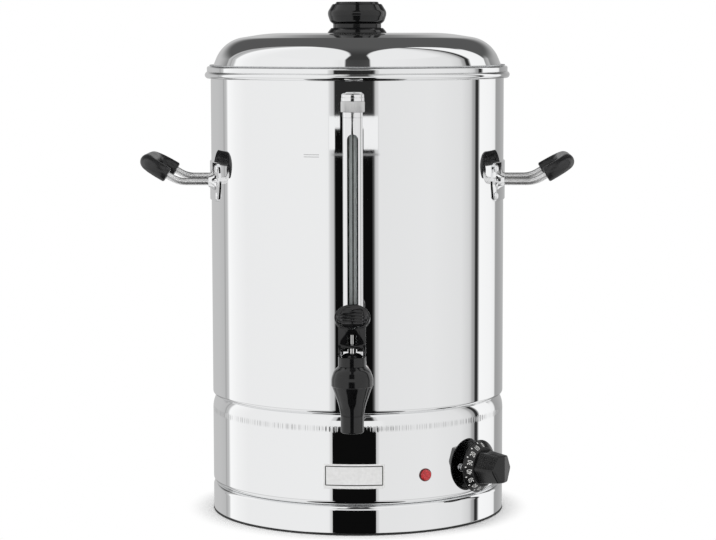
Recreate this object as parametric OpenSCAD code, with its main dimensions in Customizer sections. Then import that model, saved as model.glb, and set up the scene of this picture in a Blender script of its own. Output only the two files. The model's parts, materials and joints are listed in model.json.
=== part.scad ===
// Hot water urn: a single-walled steel tank on a drum-shaped base, with a self-closing tap,
// a water level gauge, a thermostat dial, a lamp, two carrying handles and a lift-off lid.
// Millimetres. +Z is up, the front is -Y, the origin is the centre of the foot's flat face.

/* [Body] */
// Outside diameter of the tank and of the base drum
body_d = 250; // [220:5:300]
// Thickness of the steel sheet
sheet_t = 0.8; // [0.6:0.1:1.2]
// Height of the rubber foot ring
foot_h = 2.5; // [2:0.5:6]
// Width of the rubber foot ring
foot_w = 6.5; // [5:0.5:7]
// How far the foot ring stands out past the plinth
foot_lip = 0.4; // [0.2:0.1:1]
// Height of the plinth ring
plinth_h = 22.3; // [20:0.1:40]
// Radius of the plinth's top curl
plinth_curl = 5.5; // [4:0.5:7]
// Radius of the plinth's bottom bend
plinth_bend = 1.5; // [1.2:0.1:3]
// Width of the plinth's bottom flange
plinth_flange = 15; // [14:1:20]
// Height of the base drum
drum_h = 75.5; // [74:0.5:110]
// Radius of the drum's bottom curl
drum_curl = 6; // [4:0.5:8]
// How far the drum's top is necked in
neck_in = 3.6; // [2:0.2:5]
// Height of the necked part of the drum
neck_h = 12.3; // [8:0.1:16]
// Height of the tank with its rolled rim
tank_h = 276.1; // [250:1:400]
// Radius of the tank's bottom curl
tank_curl = 4.5; // [3:0.5:6]
// Width of the tank's flange under its floor, inside the curl
tank_flange = 1.5; // [1:0.5:4]
// Thickness of the tank floor
floor_t = 1; // [0.8:0.1:2]
// Height of the rolled rim
rim_d = 5.8; // [4.5:0.1:8]
// Width of the flanges where two shells are joined
join_w = 13; // [12:0.5:16]

/* [Base plate] */
// Thickness of the base plate
plate_t = 1; // [0.8:0.1:2]
// Number of vent slots
vent_n = 20; // [8:2:28]
// Length of a vent slot
vent_len = 22; // [10:1:24]
// Width of a vent slot
vent_w = 3; // [2:0.5:5]
// Number of base plate screws
base_screw_n = 4; // [3:1:8]
// Shank diameter of the base plate screws
base_screw_d = 3.9; // [3:0.1:4.5]

/* [Lid] */
// Height of the lid's outer band
band_h = 6.4; // [5:0.2:10]
// How far the band stands out past the tank wall
band_out = 3.2; // [2.4:0.2:5]
// How far the dome's foot is inside the tank wall's outside
dome_in = 2; // [1.5:0.5:3]
// How far the steep side leans in, up to the shoulder's corner
dome_side_in = 8.9; // [6:0.1:12]
// Radius of the dome's shoulder
dome_shoulder_r = 29; // [14:1:30]
// Height of the dome above the band
dome_h = 26; // [25:1:40]
// How far the shoulder's corner lies below the top
crown_drop = 6.2; // [4:0.2:8]
// Diameter of the dome's flat middle
crown_d = 150; // [120:5:170]
// Depth of the ring that keeps the lid in the rim
locator_h = 14; // [8:1:24]

/* [Lid knob] */
// Diameter of the knob
knob_d = 49.8; // [40:0.2:60]
// Height of the knob above its collar
knob_h = 22.2; // [18:0.2:30]
// Diameter of the knob's neck
knob_neck_d = 41; // [30:0.5:44]
// Diameter of the collar's foot
collar_d = 51; // [46:0.5:53]
// Height of the collar
collar_h = 4.2; // [3:0.2:6]
// Thread diameter of the lid screw
lid_screw_d = 5; // [4:0.5:6]
// Length of the lid screw in the knob
lid_screw_grip = 10; // [8:0.5:12]

/* [Handles] */
// Height of the handles above the tank's bottom seam
handle_rise = 184; // [150:1:220]
// Diameter of the handle rod
rod_d = 6; // [5:0.5:8]
// Distance between the two legs of a handle
leg_gap = 74; // [70:1:84]
// Distance from the tank wall to the knee of the rod
knee_out = 25; // [22:1:32]
// Bend radius of the knee
knee_r = 25; // [20:1:28]
// Upward angle of the handle
handle_tilt = 30; // [20:1:40]
// Length from the knee's corner to the crossbar
handle_reach = 32; // [31:1:40]
// Bend radius at the crossbar's ends
corner_r = 16; // [14:1:18]
// Diameter of the grip
grip_d = 13; // [11:0.5:15]
// Length of the grip on each leg
grip_leg = 21; // [19.5:0.5:22]
// Length of the mounting plate across the handle
mount_len = 107; // [104:1:112]
// Height of the mounting plate
mount_h = 32.5; // [30:0.5:40]
// Thickness of the mounting plate
mount_t = 1.2; // [1:0.1:2]
// Diameter of the boss round each leg
boss_d = 22; // [18:0.5:24]
// Height of the boss
boss_h = 4; // [3:0.5:6]
// Shank diameter of the rivets
rivet_d = 4; // [3:0.5:5]
// Distance between the two columns of rivets
rivet_gap = 94; // [91:0.5:96]
// Height of the rivets above and below the middle
rivet_z = 11.5; // [10.5:0.5:12]

/* [Tap] */
// Distance from the tank wall to the tap's axis
tap_reach = 45; // [44:1:60]
// Height of the tap's inlet above the tank's bottom seam
tap_rise = 31.7; // [30:0.1:44]
// Diameter of the tap's bulb
bulb_d = 33.4; // [32:0.2:40]
// Diameter of the spout at its tip
spout_d = 18.4; // [17:0.2:21]
// Bore of the spout
spout_bore = 13; // [10:0.5:13.5]
// Length of the spout below the inlet's axis
spout_drop = 38.7; // [36:0.1:50]
// Height of the body's shoulder above the inlet's axis
shoulder_rise = 14.6; // [14:0.1:20]
// Height of the seat above the spout's tip
seat_rise = 30.2; // [29:0.1:31]
// Diameter of the valve chamber
chamber_d = 24; // [22:0.5:26]
// Diameter of the tap's inlet neck
inlet_d = 22; // [20:0.5:24]
// Diameter of the bonnet
bonnet_d = 22; // [21:0.2:26]
// Height of the bonnet's side
bonnet_h = 7.8; // [6:0.2:12]
// Height of the bonnet's dome
bonnet_dome = 2.8; // [1.5:0.1:3]
// Bore of the bonnet for the spring
spring_bore = 15; // [12:0.5:16]
// Diameter of the valve stem
stem_d = 6.4; // [5:0.1:7]
// Diameter of the seat cup
cup_d = 19; // [17:0.5:19.2]
// Height of the seat cup
cup_h = 7; // [6.5:0.5:9]
// Wire diameter of the valve spring
spring_wire = 1.1; // [0.8:0.1:1.4]
// Coil diameter of the valve spring, at the middle of the wire
spring_d = 10.4; // [9.6:0.2:12]
// Turns of the valve spring
spring_turns = 6; // [4:1:8]

/* [Tap lever] */
// Width of the lever's arm
lever_w = 21.6; // [20:0.2:24]
// Depth of the lever's arm, front to back
lever_depth = 13.6; // [13.6:0.2:16]
// Thickness of the lever's walls
lever_wall = 2; // [1.5:0.1:2]
// Height of the pin above the heel
pin_rise = 7; // [6.6:0.1:8]
// Diameter of the pin
pin_d = 3; // [2.5:0.1:3.5]
// How far the heel reaches behind the pin
heel_back = 5.5; // [4.5:0.5:6.5]
// Arm of the cam on the heel: the stem's lift for each radian of tilt
cam_arm = 4.5; // [3.5:0.1:5]
// How far the lever tilts, in degrees
lever_tilt = 40; // [30:1:45]
// Height of the window above the pin
window_rise = 2.5; // [1.6:0.1:3]
// Width of the window
window_w = 7.6; // [6:0.2:10]
// Height of the window
window_h = 8.2; // [6:0.2:9]
// Diameter of the thumb pad
pad_d = 28.5; // [26:0.5:34]
// Thickness of the thumb pad
pad_t = 4; // [3:0.5:6]
// Angle of the thumb pad's face from upright
pad_tilt = 52; // [40:1:60]
// Height of the thumb pad's middle above the pin
pad_rise = 24; // [23.5:0.1:32]
// Distance of the thumb pad's middle behind the pin
pad_back = 3.5; // [2:0.5:5]
// Depth of the pad's dished face
pad_dish = 0.8; // [0.4:0.1:1.2]
// Number of ribs across the pad
pad_ribs = 5; // [3:2:7]
// How deep the top of the arm lies below the pad's face
pad_root = 1.2; // [1:0.1:1.5]

/* [Shank and gauge] */
// Diameter of the shank through the tank wall
shank_d = 18; // [16:0.5:20]
// Water bore of the shank
shank_bore = 10; // [8:0.5:11]
// Length of the shank inside the tank
shank_in = 17; // [14:1:24]
// Diameter of the shank's flange
flange_d = 28; // [25:0.5:34]
// Thickness of the shank's flange
flange_t = 3; // [2:0.5:4]
// Thickness of the silicone washers at their middle
washer_t = 2; // [1.5:0.1:3]
// Distance from the tank wall to the gauge's axis
gauge_reach = 15; // [14.8:0.1:16]
// Diameter of the gauge's socket
socket_d = 19; // [18:0.5:20]
// Height of the socket above the shank's axis
socket_rise = 18; // [16:0.5:24]
// Depth of the socket
socket_depth = 8; // [6:0.5:8]
// Width across the flats of the shank's hexagon
hex_af = 22; // [20:0.5:24]
// Diameter of the tap's thread on the shank
tap_thread_d = 16; // [14:0.5:18]
// Width across the flats of the nut inside the tank
nut_af = 30; // [28:1:34]
// Thickness of the nut inside the tank
nut_t = 6; // [5:0.5:8]
// Diameter of the gauge's shield
shield_d = 16; // [15:0.2:17]
// Height of the shield above its seat in the socket
shield_h = 200; // [160:1:300]
// Wall of the shield
shield_t = 0.8; // [0.6:0.1:1.2]
// Width of the slot in the shield
slot_w = 8.8; // [6:0.2:10]
// Solid length of the shield above the slot
slot_top = 13; // [10:1:20]
// Solid length of the shield below the slot
slot_foot = 14; // [10:1:20]
// Outside diameter of the gauge glass
glass_d = 10; // [8:0.5:10.5]
// Bore of the gauge glass
glass_bore = 7; // [5:0.5:7]
// Diameter of the cap's knurled band
knurl_d = 19.2; // [18.4:0.2:24]
// Height of the cap's knurled band
knurl_h = 8.6; // [6:0.2:12]
// Number of teeth on the knurled band
knurl_n = 48; // [24:4:60]
// Height of the plain ring below the knurled band
cap_ring_h = 4.4; // [3:0.2:6]
// Height of the cap's top disc
cap_top_h = 6.4; // [4:0.2:8]
// Diameter of the cap's top disc
cap_top_d = 17.2; // [14:0.2:18]

/* [Thermostat] */
// Direction of the thermostat dial from the front
dial_azimuth = 51.5; // [45:0.5:60]
// Height of the dial above the plinth's seam
dial_rise = 25.2; // [24.6:0.2:34]
// Diameter of the dial's skirt
skirt_d = 44; // [42:1:48]
// Gap between the drum and the skirt's back
skirt_gap = 5.5; // [4:0.5:8]
// Height of the skirt's cone
skirt_h = 7; // [5:0.5:9]
// Thickness of the skirt's rim
skirt_rim = 1.5; // [1:0.1:2.5]
// Width across corners of the dial's grip at its foot
dial_grip_d1 = 31; // [29:0.5:34]
// Width across corners of the dial's grip at its front
dial_grip_d2 = 26; // [20:0.5:28]
// Length of the dial's grip in front of the skirt
dial_grip_h = 32; // [24:0.5:36]
// How far the two front faces of the grip fall away from its ridge
dial_ridge = 2.5; // [1:0.5:4]
// Turning range of the dial in degrees
dial_range = 264; // [180:6:300]
// Diameter of the spindle
spindle_d = 6; // [5:0.5:7]
// Depth of the flat on the spindle
spindle_flat = 1.4; // [0.8:0.1:2]
// Length of the spindle in the dial
spindle_grip = 14; // [10:1:18]
// Diameter of the thermostat's case
case_d = 36; // [30:1:40]
// Depth of the thermostat's case
case_h = 22; // [16:1:28]
// Width of the thermostat's front plate
case_plate_w = 42; // [40:1:44]
// Height of the thermostat's front plate
case_plate_h = 24; // [20:1:28]
// Distance between the thermostat's two screws
case_screw_gap = 28; // [26:1:29]
// Diameter of the bush round the spindle
bush_d = 10; // [9:0.5:12]

/* [Lamp] */
// Direction of the lamp from the front
lamp_azimuth = 27.7; // [22:0.1:30]
// Height of the lamp above the plinth's seam
lamp_rise = 23.2; // [18:0.2:34]
// Diameter of the lamp's lens
lens_d = 10.8; // [10:0.2:14]
// Height of the lamp's lens
lens_h = 3; // [2:0.2:5]
// Diameter of the lamp's body
lamp_d = 8.6; // [7:0.2:9]
// Length of the lamp's body inside the drum
lamp_len = 26; // [20:1:32]

/* [Heater] */
// Diameter of the heat spreader under the tank floor
spreader_d = 184; // [170:2:196]
// Thickness of the heat spreader
spreader_t = 3; // [2:0.5:5]
// Diameter of the heating element's tube
element_d = 7; // [6:0.5:8.5]
// Diameter of the heating element's ring, at the middle of the tube
element_ring_d = 150; // [140:2:160]
// Gap in the heating element's ring in degrees
element_gap = 36; // [24:2:50]
// Length of the element's ends below its ring
element_leg = 16; // [12:1:20]
// Diameter of the boil-dry cut-out
cutout_d = 18; // [14:1:22]
// Height of the boil-dry cut-out
cutout_h = 9; // [7:1:12]
// Diameter of the temperature bulb
probe_d = 6; // [5:0.5:7]
// Length of the temperature bulb
probe_len = 70; // [50:2:80]
// Distance of the temperature bulb from the middle
probe_off = 34; // [26:1:40]
// Diameter of the capillary tube
capillary_d = 1.8; // [1.2:0.2:2.4]

/* [Cable entry] */
// Height of the cable entry above the plinth's seam
gland_rise = 25; // [20:1:34]
// Bore of the cable entry
gland_bore = 8; // [6:0.5:9]
// Diameter of the cable entry's shank
gland_d = 14; // [13:0.5:16]
// Diameter of the cable entry's flange
gland_flange_d = 21; // [18:0.5:26]
// Thickness of the cable entry's flange
gland_flange_t = 4; // [3:0.5:6]
// Width across the flats of the cable entry's nut
gland_nut_af = 20; // [18:0.5:24]
// Thickness of the cable entry's nut
gland_nut_t = 5; // [4:0.5:7]
// Length of the terminal block
block_len = 36; // [30:1:44]
// Depth of the terminal block
block_w = 18; // [14:1:24]
// Height of the terminal block
block_h = 15; // [12:1:20]
// Number of poles of the terminal block
block_n = 3; // [2:1:4]
// Distance of the terminal block from the middle
block_off = 62; // [56:1:70]
// Thread diameter of the earth stud
earth_d = 5; // [4:0.5:6]
// Length of the earth stud
earth_len = 18; // [16:1:24]

/* [Wiring] */
// Diameter of the insulated wires
wire_d = 2.4; // [1.6:0.2:2.8]
// Length of wire inside the terminal block
wire_in = 6; // [4:1:8]
// How far a wire runs straight out of its ends before it bends
wire_reach = 24; // [16:2:30]

/* [Clearances] */
// Gap round a pin, spindle or stem that turns or slides
run_gap = 0.05; // [0.03:0.01:0.08]
// Gap between two pieces that are pressed or screwed together
press_gap = 0.03; // [0.02:0.01:0.05]
// Gap round a screw, shank or bush in a sheet
hole_gap = 0.2; // [0.1:0.05:0.3]
// Gap between pieces that move past each other
move_gap = 0.3; // [0.25:0.05:0.6]
// Gap between the lid's locating ring and the tank wall
lid_gap = 1.2; // [0.8:0.1:2]

/* [Hidden] */
$fn = 96;

// Through-cuts reach this far past the faces they cut
cut = 1;

// Lengths of one piece reach this far into each other
weld = 0.5;

// Body radii
body_r = body_d/2;
inner_r = body_r - sheet_t;
join_r = body_r - join_w;

// Radius to which the dome bends into its flat middle
crown_r = 150;

// Levels, from the foot up
seam_z = foot_h + plinth_h;
neck_z = seam_z + drum_h;
rim_z = neck_z + tank_h;
floor_under = neck_z + sheet_t;
floor_z = floor_under + floor_t;
band_z = rim_z + band_h;
lid_top = band_z + dome_h;

// Base plate and its screws, which hold it to the plinth's bottom flange
plate_z = foot_h + sheet_t;
plate_top = plate_z + plate_t;
plate_r = inner_r - 2*plinth_bend;
base_screw_head_r = base_screw_d*0.82;
base_screw_head_h = foot_h*0.8;
base_screw_r = body_r - plinth_flange + base_screw_head_r + hole_gap;
base_screw_len = 7;
vent_r = body_r*0.62;

// Earth stud's place on the base plate
earth_pad_h = 1.5;
earth_off = 40;

// Handles
handle_z = neck_z + handle_rise;
mount_r = body_r + mount_t;
leg_y = leg_gap/2;
knee_x = body_r + knee_out;
knee_tan = knee_r*tan(handle_tilt/2);
top_reach = handle_reach - knee_tan;
rod_r = rod_d/2;
rod_start = sqrt(pow(body_r, 2) - pow(leg_y - rod_r, 2)) + hole_gap;
boss_x = sqrt(pow(mount_r, 2) - pow(leg_y, 2)) + boss_h;
grip_round = 1;
rivet_angle = asin(rivet_gap/2/mount_r);
rivet_head_r = rivet_d*0.9;
rivet_head_h = rivet_d*0.4;

// Tap: axes and levels
tap_y = -(body_r + tap_reach);
gauge_y = -(body_r + gauge_reach);
shank_z = neck_z + tap_rise;
spout_z = shank_z - spout_drop;
seat_z = spout_z + seat_rise;
shoulder_z = shank_z + shoulder_rise;
heel_z = shoulder_z + bonnet_h;
pin_z = heel_z + move_gap + pin_rise;
chamber_r = chamber_d/2;
seat_lip_r = spout_bore/2 + 2;
seat_lip_h = 2;
throat_r = cup_d/2 + move_gap;
throat_z = shoulder_z - 4.6;
chamber_top = throat_z - (chamber_r - throat_r);
chamber_floor_r = seat_lip_r + 1.5;
chamber_z = seat_z - seat_lip_h + 1.2*(chamber_r - chamber_floor_r);
spring_seat_z = shoulder_z + bonnet_h*0.45;
cup_top = seat_z + cup_h;
collar_t = 1.5;
stem_top = pin_z + window_rise + window_h + 1.5;
front_foot = -0.2;
back_foot = bonnet_dome - pin_rise;
stem_slot = stem_d + 1;

// Shank: stations along Y, counted outward from the tank wall
flange_y = -(body_r + washer_t);
hex_y = gauge_y - socket_d/2;
inlet_y = hex_y - 2.5;
thread_end_y = tap_y + chamber_r - 0.5;
socket_z = shank_z + socket_rise;
socket_foot = shank_z - shank_d/2 - 1.5;
shield_foot = socket_z - socket_depth;
shield_top = shield_foot + shield_h;
cap_z = shield_top + cap_ring_h;
cap_disc_z = cap_z + knurl_h;
seal_h = 4;
glass_top = cap_z + 1;
spigot_h = 7;

// Thermostat: stations along its axis, counted from the middle of the urn
dial_z = seam_z + dial_rise;
skirt_back = body_r + skirt_gap;
skirt_front = skirt_back + skirt_h;
case_t = 1.5;
case_front = flat_seat(case_plate_w);
case_back = case_front - case_t - case_h;
tab_len = 7;
tab_w = 6;
tab_t = 0.8;
case_tab_x = case_d/4;
bush_out = body_r + 2;
spindle_in = case_front - 12;
spindle_out = skirt_back + spindle_grip;
case_screw_r = 1.9;
case_screw_head_r = 3.4;
case_screw_x = case_screw_gap/2;
case_screw_seat = sqrt(pow(body_r, 2) - pow(case_screw_x - case_screw_head_r, 2));

// Lamp
lamp_z = seam_z + lamp_rise;
lamp_back = body_r - lamp_len;
lamp_tab_x = 2.2;
lamp_tab_w = 3;
lens_lip = 0.8;

// Heater
spreader_z = floor_under - spreader_t;
element_z = spreader_z - element_d/2;
element_r = element_ring_d/2;
elbow_r = element_d*1.2;
pin_tip_r = 1.6;
pin_tip_len = 9;
pin_turn = element_gap/2 - 90;
pin_bottom = element_z - element_leg - pin_tip_len;
cutout_z = spreader_z - cutout_h;
cutout_tab_x = cutout_d/3;
probe_z = spreader_z - probe_d/2;

// Cable entry
gland_z = seam_z + gland_rise;
gland_len = 20;
gland_seat = flat_seat(gland_nut_af/cos(30));
pole = block_len/block_n;
block_bore_z = block_h*0.45;

// Wiring
boot_wall = 1.2;
boot_end = 2;
boot_len = tab_len - 1 + boot_end;
earth_tag_z = plate_top + earth_pad_h + 1 + earth_d*0.8;

// Where a flat piece of width w meets the inside of the drum, from the middle of the urn
function flat_seat(w) = sqrt(pow(inner_r, 2) - pow(w/2, 2));

// Unit vector along v
function unit(v) = v/norm(v);

// Points of an arc round c, from angle a to angle b
function arc(c, r, a, b, n = 8) =
    [for (i = [0:n]) let (t = a + (b - a)*i/n) [c[0] + r*cos(t), c[1] + r*sin(t)]];

// Points that round the corner q between p and s, flat or in space, to radius r, or to what a
// share of its sides leaves room for
function corner(p, q, s, r, n = 6, share = 0.499) =
    let (u = unit(p - q), v = unit(s - q), half = acos(u*v)/2,
         t = min(r/tan(half), share*norm(p - q), share*norm(s - q)),
         c = q + unit(u + v)*t/cos(half), from = unit(q + u*t - c), to = q + v*t - c,
         side = unit(to - (to*from)*from))
    [for (i = [0:n]) let (a = (180 - 2*half)*i/n) c + t*tan(half)*(cos(a)*from + sin(a)*side)];

// An open path through points [x, y, corner radius]
function round_path(p, share = 0.499) = [
    for (i = [0:len(p) - 1])
        let (q = [p[i][0], p[i][1]])
        each i == 0 || i == len(p) - 1 || p[i][2] == 0 ? [q]
            : corner([p[i - 1][0], p[i - 1][1]], q, [p[i + 1][0], p[i + 1][1]], p[i][2], 6, share)];

// A closed outline through points [x, y, corner radius]
function round_loop(p) = let (n = len(p)) [
    for (i = [0:n - 1])
        let (q = [p[i][0], p[i][1]], a = p[(i + n - 1) % n], b = p[(i + 1) % n])
        each p[i][2] == 0 ? [q] : corner([a[0], a[1]], q, [b[0], b[1]], p[i][2])];

// Points with a corner radius of zero, so that arcs can stand in a path
function sharp(p) = [for (q = p) [q[0], q[1], 0]];

// Left-hand normal of the step from p to q
function left(p, q) = unit([p[1] - q[1], q[0] - p[0]]);

// A closed outline of thickness t to the left of a path
function sheet(p, t) = let (n = len(p) - 1) concat(p, [
    for (i = [n:-1:0])
        let (a = left(p[max(i - 1, 0)], p[max(i, 1)]),
             b = left(p[min(i, n - 1)], p[min(i + 1, n)]), m = unit(a + b))
        p[i] + m*t/(m*a)]);

// A path from p to q that leaves along u and arrives against v: straight for a lead at both ends,
// and between them one smooth curve in n steps
function bow(p, u, q, v, lead, reach, n) =
    let (a = p + lead*u, d = q + lead*v, b = a + reach*u, c = d + reach*v)
    concat([p],
        [for (i = [0:n]) let (t = i/n, s = 1 - t) s*s*s*a + 3*s*s*t*b + 3*s*t*t*c + t*t*t*d], [q]);

// Outward direction of an azimuth, and the direction to its right
function outward(azimuth) = [sin(azimuth), -cos(azimuth), 0];
function rightward(azimuth) = [cos(azimuth), sin(azimuth), 0];

// A point at radius r on a radius of the urn, x to its right
function wall_point(azimuth, z, r, x = 0) = r*outward(azimuth) + x*rightward(azimuth) + [0, 0, z];

// A slot with round ends, along X
function slot_outline(l, w) =
    concat(arc([l/2 - w/2, 0], w/2, -90, 90), arc([w/2 - l/2, 0], w/2, 90, 270));

// Puts a piece on a radius of the urn: its own +Z points outward, +Y up
module on_wall(azimuth, z, r = 0) {
    translate([0, 0, z]) rotate([90, 0, azimuth]) translate([0, 0, r]) children();
}

// Puts a piece on the tap's axis
module on_tap(z = 0) {
    translate([0, tap_y, z]) children();
}

// Puts a piece on the gauge's axis
module on_gauge(z = 0) {
    translate([0, gauge_y, z]) children();
}

// A round bar along Y, from y1 to y2, at the shank's height
module bar_y(r, y1, y2) {
    translate([0, y1, shank_z]) rotate([90, 0, 0]) cylinder(r = r, h = y1 - y2);
}

// A hexagonal bar along Y, with two of its flats upright
module hex_bar_y(af, y1, y2) {
    translate([0, y1, shank_z]) rotate([90, 30, 0]) cylinder(r = af/2/cos(30), h = y1 - y2, $fn = 6);
}

// Direction of a path at its point i
function path_dir(p, i) = unit(p[min(i + 1, len(p) - 1)] - p[max(i - 1, 0)]);

// A round tube of n sides along a path of points, with flat ends
module tube(p, r, n) {
    last = len(p) - 1;
    pts = [for (i = [0:last]) let (d = path_dir(p, i), up = abs(d[2]) > 0.9 ? [1, 0, 0] : [0, 0, 1],
            u = unit(cross(up, d)), v = cross(d, u))
        for (k = [0:n - 1]) p[i] + r*(cos(k*360/n)*u + sin(k*360/n)*v)];
    sides = [for (i = [0:last - 1], k = [0:n - 1], f = [0, 1])
        let (a = n*i + k, b = n*i + (k + 1) % n) f == 0 ? [a, a + n, b] : [b, a + n, b + n]];
    ends = [[for (k = [0:n - 1]) k], [for (k = [n - 1:-1:0]) n*last + k]];
    polyhedron(pts, concat(sides, ends));
}

// A pan-head screw whose head's seat is at z = 0 and whose shank points up
module pan_screw(r, head_r, head_h, len) {
    difference() {
        union() {
            cylinder(r = r, h = len);
            rotate_extrude() polygon(round_loop([[0, 0, 0], [0, -head_h, 0],
                [head_r, -head_h, head_h*0.7], [head_r, 0, 0]]));
        }
        for (a = [0, 90]) rotate([0, 0, a]) translate([-head_r*0.55, -head_h*0.2, -head_h - cut])
            cube([head_r*1.1, head_h*0.4, cut + head_h*0.5]);
    }
}

// ---------------------------------------------------------------- base

module foot_ring() {
    color("#1c1c1c")
    rotate_extrude() polygon(round_loop([
        [body_r + foot_lip - foot_w, 0, 0], [body_r + foot_lip, 0, 0.6],
        [body_r + foot_lip, foot_h, 0.6], [body_r + foot_lip - foot_w, foot_h, 0]]));
}

module plinth_ring() {
    color("#d8dadc")
    difference() {
        rotate_extrude() polygon(sheet(round_path([
            [body_r - plinth_flange, foot_h, 0], [body_r, foot_h, plinth_bend],
            [body_r, seam_z, plinth_curl], [join_r, seam_z, 0]]), sheet_t));
        base_screw_holes();
    }
}

module base_screw_places() {
    for (i = [0:base_screw_n - 1])
        rotate([0, 0, 45 + i*360/base_screw_n]) translate([base_screw_r, 0, 0]) children();
}

module base_screw_holes() {
    base_screw_places() translate([0, 0, foot_h - cut])
        cylinder(r = base_screw_d/2 + hole_gap, h = sheet_t + plate_t + 2*cut);
}

// Round plate with a ring of vent slots and a shallow pressed step
module base_plate() {
    color("#b9bcbe")
    difference() {
        union() {
            translate([0, 0, plate_z]) cylinder(r = plate_r, h = plate_t);
            earth_pad();
        }
        base_screw_holes();
        for (i = [0:vent_n - 1])
            rotate([0, 0, (i + 0.5)*360/vent_n]) translate([vent_r, 0, plate_z - cut])
                linear_extrude(plate_t + 2*cut) polygon(slot_outline(vent_len, vent_w));
        earth_place() translate([0, 0, plate_z - cut])
            cylinder(r = earth_d/2 + press_gap, h = plate_t + 2*cut + earth_pad_h);
    }
}

module earth_place() {
    translate([earth_off, earth_off, 0]) children();
}

module earth_pad() {
    earth_place() translate([0, 0, plate_z]) cylinder(r = earth_d*1.4, h = plate_t + earth_pad_h);
}

module base_screws() {
    color("#8d9093")
    base_screw_places() translate([0, 0, foot_h])
        pan_screw(base_screw_d/2, base_screw_head_r, base_screw_head_h, base_screw_len);
}

// Drum-shaped base, necked in at the top where the tank sits on it
module base_drum() {
    neck_r = (pow(neck_in, 2) + pow(neck_h, 2))/(2*neck_in);
    color("#dcdee0")
    difference() {
        rotate_extrude() polygon(sheet(round_path(concat(
            [[join_r, seam_z, 0], [body_r, seam_z, drum_curl]],
            sharp(arc([body_r - neck_r, neck_z - neck_h], neck_r, 0, asin(neck_h/neck_r))),
            [[join_r, neck_z, 0]])), sheet_t));
        on_wall(dial_azimuth, dial_z, inner_r - 4)
            cylinder(r = bush_d/2 + hole_gap, h = 8);
        for (x = [-case_screw_x, case_screw_x])
            on_wall(dial_azimuth, dial_z, inner_r - 5) translate([x, 0, 0])
                cylinder(r = case_screw_r + hole_gap, h = 8);
        on_wall(lamp_azimuth, lamp_z, inner_r - 3) cylinder(r = lamp_d/2 + hole_gap, h = 8);
        on_wall(180, gland_z, inner_r - 4) cylinder(r = gland_d/2 + hole_gap, h = 8);
    }
}

// ---------------------------------------------------------------- tank

// Tank wall, with its bottom curled in and its rim rolled outward
module tank_wall() {
    roll = rim_d/2 - sheet_t;
    color("#dfe1e3")
    difference() {
        rotate_extrude() polygon(sheet(round_path(concat(
            [[body_r - tank_curl - tank_flange, neck_z, 0], [body_r, neck_z, tank_curl]],
            sharp(arc([body_r + roll, rim_z - rim_d/2], roll, 180, -70, 14)))), sheet_t));
        bar_y(shank_d/2 + hole_gap, 6 - body_r, -body_r - 6);
        rivet_places() translate([0, 0, inner_r - 3])
            cylinder(r = rivet_d/2 + press_gap, h = 6, $fn = 32);
    }
}

module tank_floor() {
    color("#c9cccf")
    translate([0, 0, floor_under])
        rotate_extrude() polygon(round_loop([[0, 0, 0], [body_r - tank_curl, 0, 0],
            [body_r - tank_curl, floor_t, floor_t*0.6], [0, floor_t, 0]]));
}

// ---------------------------------------------------------------- handles

// Places of the rivets, with +Z outward
module rivet_places() {
    for (side = [-90, 90], a = [-rivet_angle, rivet_angle], z = [-rivet_z, rivet_z])
        on_wall(side + a, handle_z + z) children();
}

// Curved plate with bowed ends and a boss round each leg of the rod
module handle_plate() {
    half = mount_len/2;
    h = mount_h/2;
    difference() {
        union() {
            intersection() {
                translate([0, 0, handle_z - h]) cylinder(r = mount_r, h = mount_h);
                translate([body_r*0.6, 0, handle_z]) rotate([90, 0, 90])
                    linear_extrude(body_r) polygon(round_loop([
                        [-half + 4, -h, 6], [half - 4, -h, 6], [half, 0, 30],
                        [half - 4, h, 6], [-half + 4, h, 6], [-half, 0, 30]]));
            }
            for (y = [-leg_y, leg_y]) translate([boss_x, y, handle_z]) rotate([0, -90, 0])
                cylinder(r1 = rod_r + 1.5, r2 = boss_d/2, h = boss_h + 5);
        }
        translate([0, 0, handle_z - mount_h]) cylinder(r = body_r, h = 2*mount_h);
        for (y = [-leg_y, leg_y]) translate([body_r/2, y, handle_z]) rotate([0, 90, 0])
            cylinder(r = rod_r + press_gap, h = body_r);
        rivet_places() translate([0, 0, body_r - 3])
            cylinder(r = rivet_d/2 + press_gap, h = 6 + mount_t, $fn = 32);
    }
}

module handle_plate_right() {
    color("#d4d6d8") handle_plate();
}

module handle_plate_left() {
    color("#d4d6d8") mirror([1, 0, 0]) handle_plate();
}

// Quarter or smaller turn of a round bar, bent in the XY plane
module bend(path_r, bar_r, angle) {
    rotate_extrude(angle = angle) translate([path_r, 0]) circle(r = bar_r, $fn = 48);
}

// Frame of a handle's tilted part: its origin is the end of the knee, +X runs up the legs
module tilted() {
    translate([knee_x - knee_tan, 0, handle_z + knee_r]) rotate([0, -handle_tilt, 0])
        translate([0, 0, -knee_r]) children();
}

// Crossbar, its two corners and the tilted legs, from leg_in before the crossbar
module loop_top(r, leg_in) {
    translate([top_reach, corner_r - leg_y, 0]) rotate([-90, 0, 0])
        cylinder(r = r, h = leg_gap - 2*corner_r, $fn = 48);
    for (m = [0, 1]) mirror([0, m, 0]) {
        translate([top_reach - corner_r, leg_y - corner_r, 0]) bend(corner_r, r, 90);
        translate([top_reach - leg_in, leg_y, 0]) rotate([0, 90, 0])
            cylinder(r = r, h = leg_in - corner_r, $fn = 48);
    }
}

// One half of the rod's centre line, at y, from its end at the tank to the middle of the crossbar
function rod_half(y) =
    let (end = [rod_start, y, handle_z], knee = [knee_x, y, handle_z],
         top = knee + handle_reach*[cos(handle_tilt), 0, sin(handle_tilt)], middle = [top[0], 0, top[2]])
    concat([end], corner(end, knee, top, knee_r, 6, 0.9), corner(knee, top, middle, corner_r, 16, 0.9));

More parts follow.
